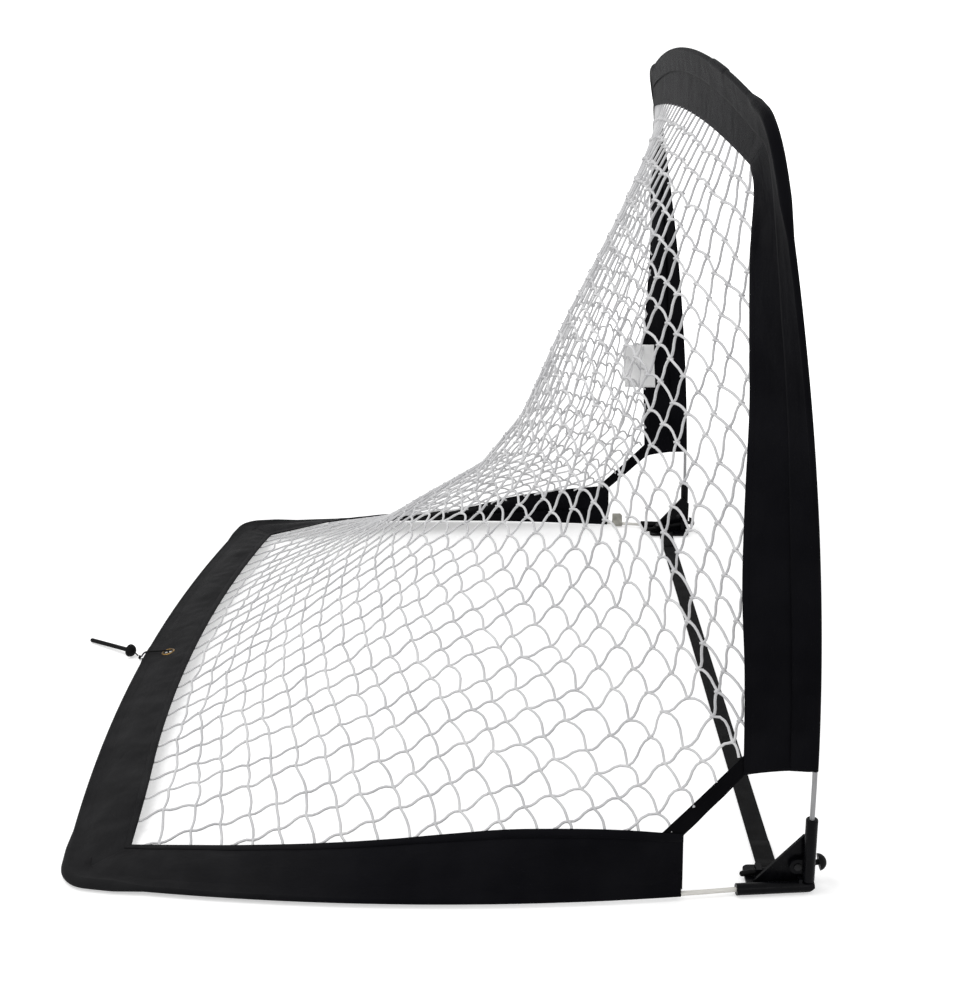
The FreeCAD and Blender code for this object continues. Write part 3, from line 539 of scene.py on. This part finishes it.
def border_points(line, run, edge, belly, crease, seed, step=0.007, calm=None):
    """The grid of a border. Its creases are kept off the point calm, if one is given."""
    start, end = edge[0][0] - PAST_MITRE, edge[0][-1] + PAST_MITRE
    where = np.linspace(start, end, int((end - start) / step))
    rod, inner = at(where, run, line), at(where, *edge)
    toward = inner - rod
    width = np.linalg.norm(toward, axis=1)
    normal = unit(np.cross(toward, np.gradient((rod + inner) / 2, axis=0)))
    toward = unit(toward)
    points = np.array([rod[k] + np.outer(across_profile(width[k])[:, 0], toward[k])
                       + np.outer(across_profile(width[k])[:, 1], normal[k]) for k in range(len(where))])
    free = np.sin(math.pi * np.clip((WIDTH_SHARE - 0.25) / 0.75, 0, 1))
    lift = belly * np.sin(math.pi * WIDTH_SHARE) + crease * free * ripple(points, 0.055, seed)
    lift = lift + 0.4 * crease * free * ripple(points, 0.02, seed + 9)
    end_share = np.clip(np.minimum(where - start, end - where) / CALM_END, 0, 1)[:, None]
    lift = lift * end_share * end_share * (3 - 2 * end_share)
    if calm is not None:
        lift = lift * (1 - np.exp(-np.sum((points - calm) ** 2, axis=-1) / 0.035 ** 2))
    points = points + normal[:, None] * lift[..., None]
    return points, metres(where, distances(USUAL) + FROM_ROD)


def slanted(points):
    """Draw the foot of an upright's border down at its inner edge, fading with height."""
    points[..., 2] -= 0.009 * WIDTH_SHARE ** 2 * np.exp(-((points[..., 2] - 0.168) / 0.03) ** 2)
    return points


def border(name, node, points, uv, body):
    piece = cloth(name, points, uv, body, [node], 0.0009, flap_cloth)
    return piece


# the name of each border, how far it bellies and how deep its creases are
MOUTH_BORDERS = [("upright_border_left", 0.003, 0.0024), ("top_border", 0.002, 0.0010),
                 ("upright_border_right", -0.003, 0.0030)]
GROUND_BORDERS = [("side_border_left", 0.003, 0.0035), ("back_border", 0.003, 0.0035),
                  ("side_border_right", 0.003, 0.0030)]
EYELET = np.array([0, 0.918, 0.0142])
borders = {}
for k, (name, belly, crease) in enumerate(MOUTH_BORDERS):
    points, uv = border_points(mouth_line, mouth_run, mouth_edges[k], belly, crease, k * 7.0)
    borders[name] = border(name + "_cloth", name, lean(slanted(points)), uv, "mouth")
for k, (name, belly, crease) in enumerate(GROUND_BORDERS):
    step, calm = (0.0035, EYELET) if name == "back_border" else (0.007, None)
    points, uv = border_points(ground_line, ground_run, ground_edges[k], belly, crease, 40 + k * 7.0,
                               step, calm)
    points[..., 2] = np.maximum(points[..., 2], 0.0008)
    borders[name] = border(name + "_cloth", name, points, uv, "base")
bm = bmesh.new()
bm.from_mesh(borders["back_border"].data)
# the hole is cut smaller than the eyelet's bore, so the black cloth left inside the bore is painted shade
# there
hole = [f for f in bm.faces if (f.calc_center_median() - Vector(EYELET) - GOAL_LINE).length < 0.0048]
bmesh.ops.delete(bm, geom=hole, context="FACES")
bm.to_mesh(borders["back_border"].data)
bm.free()
print("borders", {n: len(b.data.vertices) for n, b in borders.items()}, "hole of", len(hole), "cells")

# %% [markdown]
# ### Own meshes for the borders
# When the mouth is laid down, the loose cloth is pressed flat between the hoops. Here the upright,
# top and side borders only get their own copies of their mesh data.

# %% Own meshes
for name in ("upright_border_left", "upright_border_right"):
    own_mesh(borders[name])
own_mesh(borders["top_border"])
for name in ("side_border_left", "side_border_right"):
    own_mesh(borders[name])

# %% [markdown]
# ## Corner bands
# A folded tape runs from the foot of each upright border down to the front of the side border and holds
# the net's lower corner. It is a narrow sheet between two edges, so the same grid is drawn between them.

# %% Corner bands
BAND_WIDTH = 0.024


def edge_point_at(edge, axis, value):
    """Points of an inner edge at given heights or depths."""
    order = np.argsort(edge[1][:, axis])
    return at(value, edge[1][order, axis], edge[1][order])


def band(side):
    upright, ground = mouth_edges[0 if side < 0 else 2], ground_edges[0 if side < 0 else 2]
    foot, heel = edge_point_at(upright, 2, 0.170) - [0, 0, 0.011], edge_point_at(ground, 1, 0.156)
    above, behind = edge_point_at(upright, 2, 0.186), edge_point_at(ground, 1, 0.181)
    heel, behind = heel - [0, 0, 0.004], behind - [0, 0, 0.003]
    s, t = np.linspace(0, 1, 26)[:, None, None], np.linspace(0, 1, 9)[None, :, None]
    front = lean(foot) * (1 - s) + heel * s
    rear = lean(above) * (1 - s) + behind * s
    points = front * (1 - t) + rear * t
    middle = np.sin(math.pi * s[..., 0])
    points[..., 1] -= 0.0008 * middle
    points[..., 0] -= side * 0.0015 - 0.0012 * ripple(points, 0.02, 5.0) * middle
    length = np.linalg.norm(lean(foot) - heel)
    uv = metres(s.ravel() * length, t.ravel() * BAND_WIDTH)
    node = "corner_band_left" if side < 0 else "corner_band_right"
    piece = cloth(node + "_tape", points, uv, "base", [node], 0.0016, band_cloth)
    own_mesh(piece)
    return length


print("corner bands", round(float(band(-1)), 3), round(float(band(1)), 3))

# %% [markdown]
# ## The net's hang
# The net is sewn to the borders along four edges. Between them it hangs like a slack sheet: it is pulled
# straight from top to back, and near each side it has to follow the upright, the band and the side border.
# The pull and the two side paths are mixed with a hyperbolic cosine, the curve of hanging things.

# %% Net surface
SEAM_LAP, SEAM_SIDE, SEAM_LOWEST = 0.003, 0.0022, 0.0018


def beyond(line, run, edge):
    """The net's seam: over the hem of a border, on the side that faces into the goal or the ground."""
    toward = unit(edge[1] - at(edge[0], run, line))
    normal = unit(np.cross(toward, np.gradient(edge[1], axis=0)))
    inside = edge[1] * [-1, 0, 0] + ([0, -0.3, 0] if line is mouth_line else [0, 0, -0.3])
    normal = normal * np.sign(np.sum(normal * inside, axis=1, keepdims=True))
    seam = edge[1] - toward * SEAM_LAP + normal * SEAM_SIDE
    seam[:, 2] = np.maximum(seam[:, 2], SEAM_LOWEST)
    return seam


def side_seam(side):
    """The net's seam down one upright, over the corner band and back along the ground."""
    k = 0 if side < 0 else 2
    upright = lean(beyond(mouth_line, mouth_run, mouth_edges[k]))
    ground = beyond(ground_line, ground_run, ground_edges[k])
    if side < 0:
        upright = upright[::-1]
    else:
        ground = ground[::-1]
    down = upright[upright[:, 2] > 0.190]
    back = ground[ground[:, 1] > 0.168]
    return np.concatenate([down, back])


def share_along(points, share):
    """Points at shares of the length of a row of points."""
    run = distances(points)
    return at(np.asarray(share) * run[-1], run, points)


top_seam = lean(beyond(mouth_line, mouth_run, mouth_edges[1]))
back_seam = beyond(ground_line, ground_run, ground_edges[1])
seams = [side_seam(-1), side_seam(1)]


def net_point(across, share):
    """A point of the hanging net for arrays of shares across and along."""
    across, share = np.broadcast_arrays(np.asarray(across, float), np.asarray(share, float))
    a, s = across[..., None], share[..., None]
    pull = share_along(top_seam, across) * (1 - s) + share_along(back_seam, across) * s
    tension = 2.05 - 0.5 * s
    slack = np.cosh(tension * (2 * a - 1)) / np.cosh(tension)
    sags = [share_along(seam, share) - (seam[0] * (1 - s) + seam[-1] * s) for seam in seams]
    return pull + (sags[0] * (1 - a) + sags[1] * a) * slack


# %% [markdown]
# ## Braided net cord
# The net is knotted from soft white braid 3.5 mm thick. Its strands are finer than a pixel, so they are
# drawn as a twisted bump along the cord, and the tone drifts slightly from bar to bar.

# %% Net cord
net_cord_white, tree, shader, place = new_material("braided_white_cord", 0.75, Sheen_Weight=0.2)
bumped(tree, shader, waves(tree, place, "DIAGONAL", 0.0022, Distortion=1.5), 0.0004, 0.6)
tinted(tree, shader, place, 0.05, "c4c4c6", "dadadb")

# %% [markdown]
# ## Where the knots lie
# The mesh is square, with bars about 40 mm long, and it keeps that size over the whole net. Twenty-four
# meshes fill the top edge, but a row half way down is longer, so there the net has more of them: its outer
# columns start on an upright and end on a side border. A knot is therefore named by its row and by its
# distance from the row's middle.

# %% Rows of knots
ALONG, PARTS = 37, 5  # meshes from top to back, and pieces in a bar
FINE, HALF = 4 * ALONG, 120
rng = np.random.default_rng(7)
table_shares = np.linspace(0, 1, FINE + 1)
table_rows = [net_point(np.linspace(0, 1, 2 * HALF + 1), share) for share in table_shares]
table_runs = [distances(row) - distances(row)[HALF] for row in table_rows]


def spot(share, off):
    """The net's point at a share from top to back and a distance from the middle of that row."""
    share = min(max(share, 0), 1)
    k = min(int(share * FINE), FINE - 1)
    part = share * FINE - k
    return (at(off, table_runs[k], table_rows[k]) * (1 - part)
            + at(off, table_runs[k + 1], table_rows[k + 1]) * part)


def mesh_width(share):
    return 0.041 + 0.0032 * share - 0.018 * share * (1 - share)


def half_row(share):
    """Distance from the middle of a row to its seam."""
    return np.interp(share, table_shares, [run[-1] for run in table_runs])


knots = {}
for j in range(ALONG + 1):
    share, width = j / ALONG, mesh_width(j / ALONG)
    most = int((half_row(share) - 0.3 * width) / width)
    inner = 0 if j in (0, ALONG) else 0.08
    for i in range(-most, most + 1):
        knots[i, j] = (share + rng.normal(0, inner) / ALONG, (i + rng.normal(0, inner)) * width)
print("knots", len(knots), "longest row", max(i for i, j in knots) * 2, "meshes")

# %% [markdown]
# ## Knotting the net
# Each row and column is one curve with a round bevel. A bar between two knots is never straight in a slack
# net, so the cross bars arch toward the top edge and the long bars swing a little from side to side.

# %% Net mesh
def bars(first, last, arch, swing, reach, lean_on=1.0):
    """Points along one bar from knot to knot, with an arch toward the top edge and a sideways swing."""
    t = np.linspace(0, 1, PARTS, endpoint=False)[:, None]
    line = first * (1 - t) + last * t
    span = np.linalg.norm(last - first)
    skewed = t ** lean_on if lean_on >= 1 else 1 - (1 - t) ** (1 / lean_on)
    return line + arch * (4 * skewed * (1 - skewed)) * reach * span + swing * np.sin(2 * math.pi * t) * span


def cord(stops, crosswise):
    """One cord through its stops, each a share and a distance from the middle."""
    ends = [spot(*stop) for stop in stops]
    parts = []
    for (share, off), first, last in zip(stops, ends, ends[1:]):
        if np.linalg.norm(last - first) < 0.004:
            continue
        up = unit(spot(share - 0.02, off) - spot(share + 0.02, off))
        side = unit(spot(share, off + 0.01) - spot(share, off - 0.01))
        if crosswise:
            slack = math.exp(-((share - 0.45) / 0.24) ** 2)
            higher_end = 1.5 if off < 0 else 1 / 1.5
            reach = 0.05 + 0.12 * slack + rng.normal(0, 0.03)
            parts.append(bars(first, last, up, up * 0.02, reach, higher_end))
        else:
            parts.append(bars(first, last, side, side * 0.06, rng.normal(0, 0.035)))
    return np.concatenate(parts + [ends[-1][None]])


def cord_curve(name, kind, rows, radius, smoothness):
    """A curve object's data, with a round bevel, through the points of each row."""
    curve = bpy.data.curves.new(name, "CURVE")
    curve.dimensions = "3D"
    curve.bevel_depth, curve.bevel_resolution = radius, smoothness
    for row in rows:
        spline = curve.splines.new(kind)
        spline.points.add(len(row) - 1)
        spline.points.foreach_set("co", np.c_[row + np.array(GOAL_LINE), np.ones(len(row))].ravel())
    return curve


def meshed(curve):
    """The mesh of a curve with its bevel, which takes the curve's place."""
    holder = put(curve.name, curve)
    bpy.context.view_layer.update()
    mesh = bpy.data.meshes.new_from_object(holder.evaluated_get(bpy.context.evaluated_depsgraph_get()))
    bpy.data.objects.remove(holder)
    bpy.data.curves.remove(curve)
    return mesh


rows = []
for j in range(1, ALONG):
    line = sorted((knot[1], knot[0]) for (i, jj), knot in knots.items() if jj == j)
    seam = half_row(j / ALONG)
    rows.append(cord([(j / ALONG, -seam)] + [(s, d) for d, s in line] + [(j / ALONG, seam)], True))
outermost = max(i for i, j in knots)
for i in range(-outermost, outermost + 1):
    line = [knots[i, j] for j in range(ALONG + 1) if (i, j) in knots]
    inside = [s for s in table_shares if half_row(s) >= abs(i) * mesh_width(s)]
    if (i, 0) not in knots:
        line = [(inside[0], i * mesh_width(inside[0]))] + line
    if (i, ALONG) not in knots:
        line = line + [(inside[-1], i * mesh_width(inside[-1]))]
    rows.append(cord(line, False))
net_bm = bmesh.new()
net_bm.from_mesh(meshed(cord_curve("net_cords", "POLY", rows, 0.00175, 1)))
for (i, j), knot in knots.items():
    if 0 < j < ALONG:
        place = Matrix.Translation(Vector(spot(*knot)) + GOAL_LINE) @ Matrix.Diagonal((0.9, 1.9, 0.9, 1))
        bmesh.ops.create_icosphere(net_bm, subdivisions=1, radius=0.0025, matrix=place)
net = show("net_mesh", finished("net_mesh", net_bm, net_cord_white), "base", "net")
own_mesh(net)
print("net", len(net.data.polygons), "faces")

# %% [markdown]
# ## Ground strap
# A 25 mm webbing strap keeps the two feet apart. It lies on the ground, goes up through a slot in each
# foot, over the slot's bar and back, and its tails are sewn down. The strap's path is drawn once from the
# side, mirrored, and given its width by the same cloth grid.

# %% Woven black webbing
# polypropylene webbing: dull black with ribs 1.6 mm apart across it
webbing, tree, shader, place = new_material("woven_black_webbing", 0.7, "UV", Sheen_Weight=0.01,
                                            Specular_IOR_Level=0.05)
ribs = math_node(tree, "MULTIPLY", waves(tree, place, "X", 0.0016), waves(tree, place, "Y", 0.0012))
bumped(tree, shader, ribs, 0.0004, 0.9)
tinted(tree, shader, place, 0.02, "0b0b0c", "151516")

# %% Strap
half_path = [(0.501, 0.00265), (0.52, 0.00265), (0.541, 0.0027), (0.5555, 0.00725), (0.5635, 0.00728),
             (0.565, 0.0061), (0.565, 0.0024), (0.5636, 0.00115), (0.555, 0.00112), (0.3, 0.00112)]
side_view = np.array([(-x, z) for x, z in half_path] + half_path[::-1])
side_view = np.c_[side_view[:, 0], np.zeros(len(side_view)), side_view[:, 1]]
strap_run = distances(side_view)
where = np.unique(np.concatenate([strap_run, np.arange(0, strap_run[-1], 0.012)]))
centre = at(where, strap_run, side_view)
offsets = np.array([-0.0125, -0.0121, -0.010, -0.005, 0, 0.005, 0.010, 0.0121, 0.0125])
points = centre[:, None] + np.array([0, 1, 0]) * (STRAP_BACK + offsets)[None, :, None]
uv = metres(where, offsets - offsets[0])
strap = cloth("ground_strap_webbing", points, uv, "base", ["ground_strap"], 0.0014, webbing)
print("strap", round(strap_run[-1], 3), "m long")

# %% [markdown]
# ## Collar and tag
# A short ribbed tape is folded round the right side rod, in front of its pocket, and its two ends stand
# up as a tab with one round corner. A thin bare white tag is sewn into the right border's inner seam.

# %% Ribbed tape and satin tag
# cotton tape: greyish beige with ribs 2.2 mm apart
tape, tree, shader, place = new_material("ribbed_beige_tape", 0.85, "UV", Sheen_Weight=0.2)
bumped(tree, shader, waves(tree, place, "Y", 0.0022), 0.0005, 0.9)
tinted(tree, shader, place, 0.01, "9a9890", "b4b2a9")
# woven polyester satin: clean white with a faint cross grain
satin, tree, shader, place = new_material("white_satin_tag", 0.5, "UV", Sheen_Weight=0.15)
bumped(tree, shader, waves(tree, place, "Y", 0.0015), 0.0001, 0.5)
tinted(tree, shader, place, 0.03, "e2e2e2", "efefef")

# %% Collar
COLLAR_FRONT, COLLAR_BACK, COLLAR_WIDTH = 0.1254, 0.1454, 0.020
ROUND, RING = 0.006, 0.0058  # the tab's corner and the ring round the rod
right_side = half_of(ground_line, ground_run, 1)[1]
collar_x = np.interp(-0.1357, -right_side[:, 1], right_side[:, 0])
turns = np.radians(np.linspace(24, 336, 25))
loop = [(-0.0008, 0.0285), (-0.0008, 0.024), (-0.0009, 0.019), (-0.0012, 0.0155)]
ring = [(-RING * math.sin(a), ROD_Z + RING * math.cos(a)) for a in turns]
loop = np.array(loop + ring + [(-x, z) for x, z in reversed(loop)])
loop_run = distances(loop)
corner = np.clip((loop[:, 1] - 0.0230) / ROUND, 0, 0.97)
front = COLLAR_FRONT + ROUND * (1 - np.sqrt(1 - corner ** 2))
share = np.linspace(0, 1, 9)
points = np.zeros((len(loop), 9, 3))
points[..., 0] = collar_x + loop[:, :1]
points[..., 1] = front[:, None] * (1 - share) + COLLAR_BACK * share
points[..., 2] = loop[:, 1:]
uv = metres(loop_run, share * COLLAR_WIDTH)
collar = cloth("end_collar_tape", points, uv, "base", ["end_collar"], 0.0011, tape)

# %% Tag
TAG_TOP, TAG_LENGTH, TAG_WIDTH = 0.394, 0.088, 0.060
heights = np.linspace(TAG_TOP, TAG_TOP - TAG_LENGTH, 23)
span = np.linspace(0, TAG_WIDTH, 16)
share = (span / TAG_WIDTH)[None]
seam = edge_point_at(mouth_edges[2], 2, heights) + [-0.0062, -0.023, 0]
points = seam[:, None] + span[None, :, None] * unit(np.array([0.10, 1, 0]))
points[..., 0] += 0.0030 * share ** 2 + 0.0012 * ripple(points, 0.03, 2.0) * share
uv = metres(TAG_TOP - heights, span)
tag = cloth("bare_tag", lean(points), uv, "mouth", ["net_tag"], 0.0004, satin)
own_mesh(tag)
print("collar loop", round(loop_run[-1], 4), "m, tag", tag.name)

# %% [markdown]
# ## Brass eyelet
# An eyelet is pressed from sheet brass, so its rim is rolled and it thins toward its outer edge. Half of
# that section is drawn as a closed outline and spun once round the eyelet's axis.

# %% Eyelet
# worn brass: warm yellow metal, dull brown where it has tarnished
brass, tree, shader, place = new_material("tarnished_brass", 0.34, Metallic=1.0)
tinted(tree, shader, place, 0.004, "4c3a1c", "8c6d3a")
scuff = add(tree, "TexNoise", Vector=place, Scale=900.0, Detail=2.0)
bumped(tree, shader, scuff.outputs["Fac"], 0.0001, 0.4)

section = [(0.0079, 0.0), (0.0080, 0.0010), (0.0084, 0.0015), (0.0089, 0.0016), (0.0098, 0.0014),
           (0.0108, 0.0009), (0.0110, 0.0006), (0.0108, 0.0005)]
section += [(r, -h) for r, h in reversed(section[1:])]
axis = Vector((0, 0.195, 0.981)).normalized()
centre = Vector(EYELET) + GOAL_LINE
bm = bmesh.new()
ring = [bm.verts.new(centre + Vector((r, 0, 0)) + axis * h) for r, h in section]
edges = [bm.edges.new((a, b)) for a, b in zip(ring, ring[1:] + ring[:1])]
bmesh.ops.spin(bm, geom=ring + edges, cent=centre, axis=axis, angle=2 * math.pi, steps=48, use_merge=True)
bmesh.ops.remove_doubles(bm, verts=bm.verts, dist=0.00001)
bmesh.ops.recalc_face_normals(bm, faces=bm.faces)
eyelet = show("rear_eyelet", finished("rear_eyelet", bm, brass), "base", "rear_grommet")

# %% [markdown]
# ## Elastic loop and its knot
# A short elastic goes over the pocket, down through the eyelet and back under the rod, and an overhand
# knot closes it. A NURBS curve through a few listed points bends as soft cord does. The knot is a
# trefoil, the real shape of an overhand knot.

# %% Braided elastic
# elastic cord: black braid over rubber, its strands crossing every 1.4 mm
elastic_braid, tree, shader, place = new_material("braided_black_elastic", 0.6, Specular_IOR_Level=0.08)
bumped(tree, shader, waves(tree, place, "DIAGONAL", 0.0014), 0.0003, 0.7)
tinted(tree, shader, place, 0.01, "0b0b0c", "151516")

# %% Loop and knot
rod, eye, tie = np.array([0, DEPTH, ROD_Z]), EYELET, np.array([0, 0.96565, 0.0043])
route = [tie + [0, -0.0031, 0.0018], rod + [0, 0.0052, 0.0065], rod + [0, -0.004, 0.008],
         eye + [0, 0.014, 0.0018], eye + [0, 0.0045, 0.0034], eye + [0, -0.0002, 0.0017],
         eye + [0, -0.0007, -0.0043], eye + [0, 0.0054, -0.0078], np.array([0, 0.936, 0.0030]),
         np.array([0, 0.951, 0.0009]), tie + [0, -0.0026, -0.0024]]
curve = cord_curve("elastic_loop", "NURBS", [np.array(route)], 0.0013, 3)
curve.splines[0].order_u, curve.splines[0].use_endpoint_u = 3, True
curve.materials.append(elastic_braid)
loop_cord = put("elastic_loop", curve)
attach(loop_cord, "base")
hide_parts("elastic")

angles = np.arange(60) * 2 * math.pi / 60
trefoil = np.c_[np.sin(angles) + 2 * np.sin(2 * angles), -np.sin(3 * angles),
                np.cos(angles) - 2 * np.cos(2 * angles)]
knot_curve = cord_curve("knot", "POLY", [tie + trefoil * 0.00095], 0.0011, 2)
knot_curve.splines[0].use_cyclic_u = True
knot_mesh = meshed(knot_curve)
knot_mesh.materials.clear()
knot_mesh.materials.append(elastic_braid)
knot = show("elastic_knot", knot_mesh, "base")

# %% [markdown]
# ## Finishes of the hard pieces
# The rods, brackets, rivets and pegs keep their engineering shapes and only get better surfaces. A rod is
# pulled glass fibre with fine streaks along it. The brackets are glossy injection-moulded nylon, with a
# faint orange-peel skin and dull scuffs, and the pegs are the same plastic with less gloss.

# %% Hard materials
def streaked_rod(name, dark, light, stretch):
    """Pultruded glass fibre: satin, with streaks that run along one axis."""
    material, tree, shader, place = new_material(name, 0.42, Coat_Weight=0.15)
    place = add(tree, "Mapping", Vector=place, Scale=stretch).outputs[0]
    tinted(tree, shader, place, 1.0, dark, light)
    grain = add(tree, "TexNoise", Vector=place, Scale=2.0)
    bumped(tree, shader, grain.outputs["Fac"], 0.0001, 0.5)
    return material


def moulded(name, dark, light, roughness, skin):
    """Injection-moulded nylon: a skin of shallow dimples, and patches that are a little duller."""
    material, tree, shader, place = new_material(name, roughness, Specular_IOR_Level=0.06)
    tinted(tree, shader, place, 0.02, dark, light)
    peel = add(tree, "TexNoise", Vector=place, Scale=1 / skin, Detail=1.0)
    bumped(tree, shader, peel.outputs["Fac"], 0.0002, 0.35)
    scuff = add(tree, "TexNoise", Vector=place, Scale=140.0, Detail=4.0)
    dull = add(tree, "MapRange", Value=scuff.outputs["Fac"], From_Min=0.45, From_Max=0.7, To_Min=roughness,
               To_Max=roughness + 0.25)
    tree.links.new(dull.outputs["Result"], shader.inputs["Roughness"])
    return material


grey_rod = streaked_rod("grey_glass_fibre", "8a8a8c", "a2a2a4", (900, 900, 14))
pale_side_rod = streaked_rod("pale_glass_fibre_side", "d0cec8", "e2e0da", (900, 14, 900))
pale_back_rod = streaked_rod("pale_glass_fibre_back", "d0cec8", "e2e0da", (14, 900, 900))
gloss_nylon = moulded("glossy_black_nylon", "060608", "0b0b0e", 0.24, 0.0018)
satin_nylon = moulded("satin_black_nylon", "0a0a0b", "121213", 0.42, 0.0012)
elbow_nylon = moulded("matt_black_elbow", "101011", "18181a", 0.6, 0.0012)
painted_steel = moulded("black_painted_steel", "1a1a1b", "2a2a2b", 0.3, 0.0009)
drawn_steel, tree, shader, place = new_material("drawn_steel_tube", 0.3, Metallic=1.0)
place = add(tree, "Mapping", Vector=place, Scale=(14, 900, 900)).outputs[0]
tinted(tree, shader, place, 1.0, "9a9a9c", "b8b8ba")

FINISH = [(grey_rod, ("upright_pole", "top_pole")), (pale_side_rod, "side_pole"),
          (pale_back_rod, "back_pole"), (drawn_steel, ("top_ferrule", "back_ferrule")),
          (elbow_nylon, ("top_elbow", "rear_elbow")), (gloss_nylon, ("base_shoe", "upright_arm")),
          (painted_steel, "pivot_rivet"), (satin_nylon, ("ground_peg", "spare_peg"))]
count = 0
for name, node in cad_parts.items():
    for material, starts in FINISH:
        if name.startswith(starts):
            for slot in node.material_slots:
                slot.material = material
            count += 1
print(count, "hard pieces finished")

# %% [markdown]
# ## The stage
# A pale floor and a white surround, with one wide lamp above and a weak one at the side. The floor is lit
# like any surface, so it keeps the goal's shadow. It adds some light of its own only where the camera or a
# shiny surface looks at it, which makes it white without more light on the goal.

# %% Floor, world and lamps
def seen(tree):
    """1 for what the camera, a reflection or a clear material sees, and 0 for plain light."""
    path = add(tree, "LightPath")
    total = math_node(tree, "ADD", path.outputs["Is Camera Ray"], path.outputs["Is Glossy Ray"])
    total = math_node(tree, "ADD", total, path.outputs["Is Transmission Ray"])
    return math_node(tree, "MINIMUM", total, 1.0)


bm = bmesh.new()
bmesh.ops.create_grid(bm, x_segments=2, y_segments=2, size=20)
floor = put("floor", finished("floor", bm))
floor.location.z = -0.0005
floor_paint, tree, shader, place = new_material("pale_matt_floor", 0.9, Base_Color=hex_colour("e8e8e8"),
                                                Specular_IOR_Level=0.1)
far = add(tree, "VectorMath", {"operation": "LENGTH"}, i0=place).outputs["Value"]
ramp = add(tree, "MapRange", Value=far, From_Min=1.0, From_Max=2.5, To_Min=0.45, To_Max=1.2)
glow = math_node(tree, "MULTIPLY", seen(tree), ramp.outputs["Result"])
tree.links.new(glow, shader.inputs["Emission Strength"])
shader.inputs["Emission Color"].default_value = (1, 1, 1, 1)
floor.data.materials.append(floor_paint)

world = bpy.data.worlds.new("white_room")
world.use_nodes = True
bpy.context.scene.world = world
tree = world.node_tree
room = tree.nodes["Background"]
room.inputs["Color"].default_value = (1, 1, 1, 1)
level = math_node(tree, "MULTIPLY_ADD", seen(tree), 0.55)
level.node.inputs[2].default_value = 0.66
tree.links.new(level, room.inputs["Strength"])


def lamp(name, place, target, size, power):
    light = bpy.data.lights.new(name, "AREA")
    light.shape, light.size, light.energy = "DISK", size, power
    holder = put(name, light)
    holder.location = Vector(place)
    holder.rotation_euler = (Vector(target) - Vector(place)).to_track_quat("-Z", "Y").to_euler()


lamp("lamp_above", (-0.4, 1.3, 3.2), (0, 0, 0.2), 2.2, 45)
lamp("lamp_side", (-3.2, -1.2, 1.8), (0, 0, 0.4), 1.2, 8)
bpy.context.scene.view_settings.view_transform = "Standard"
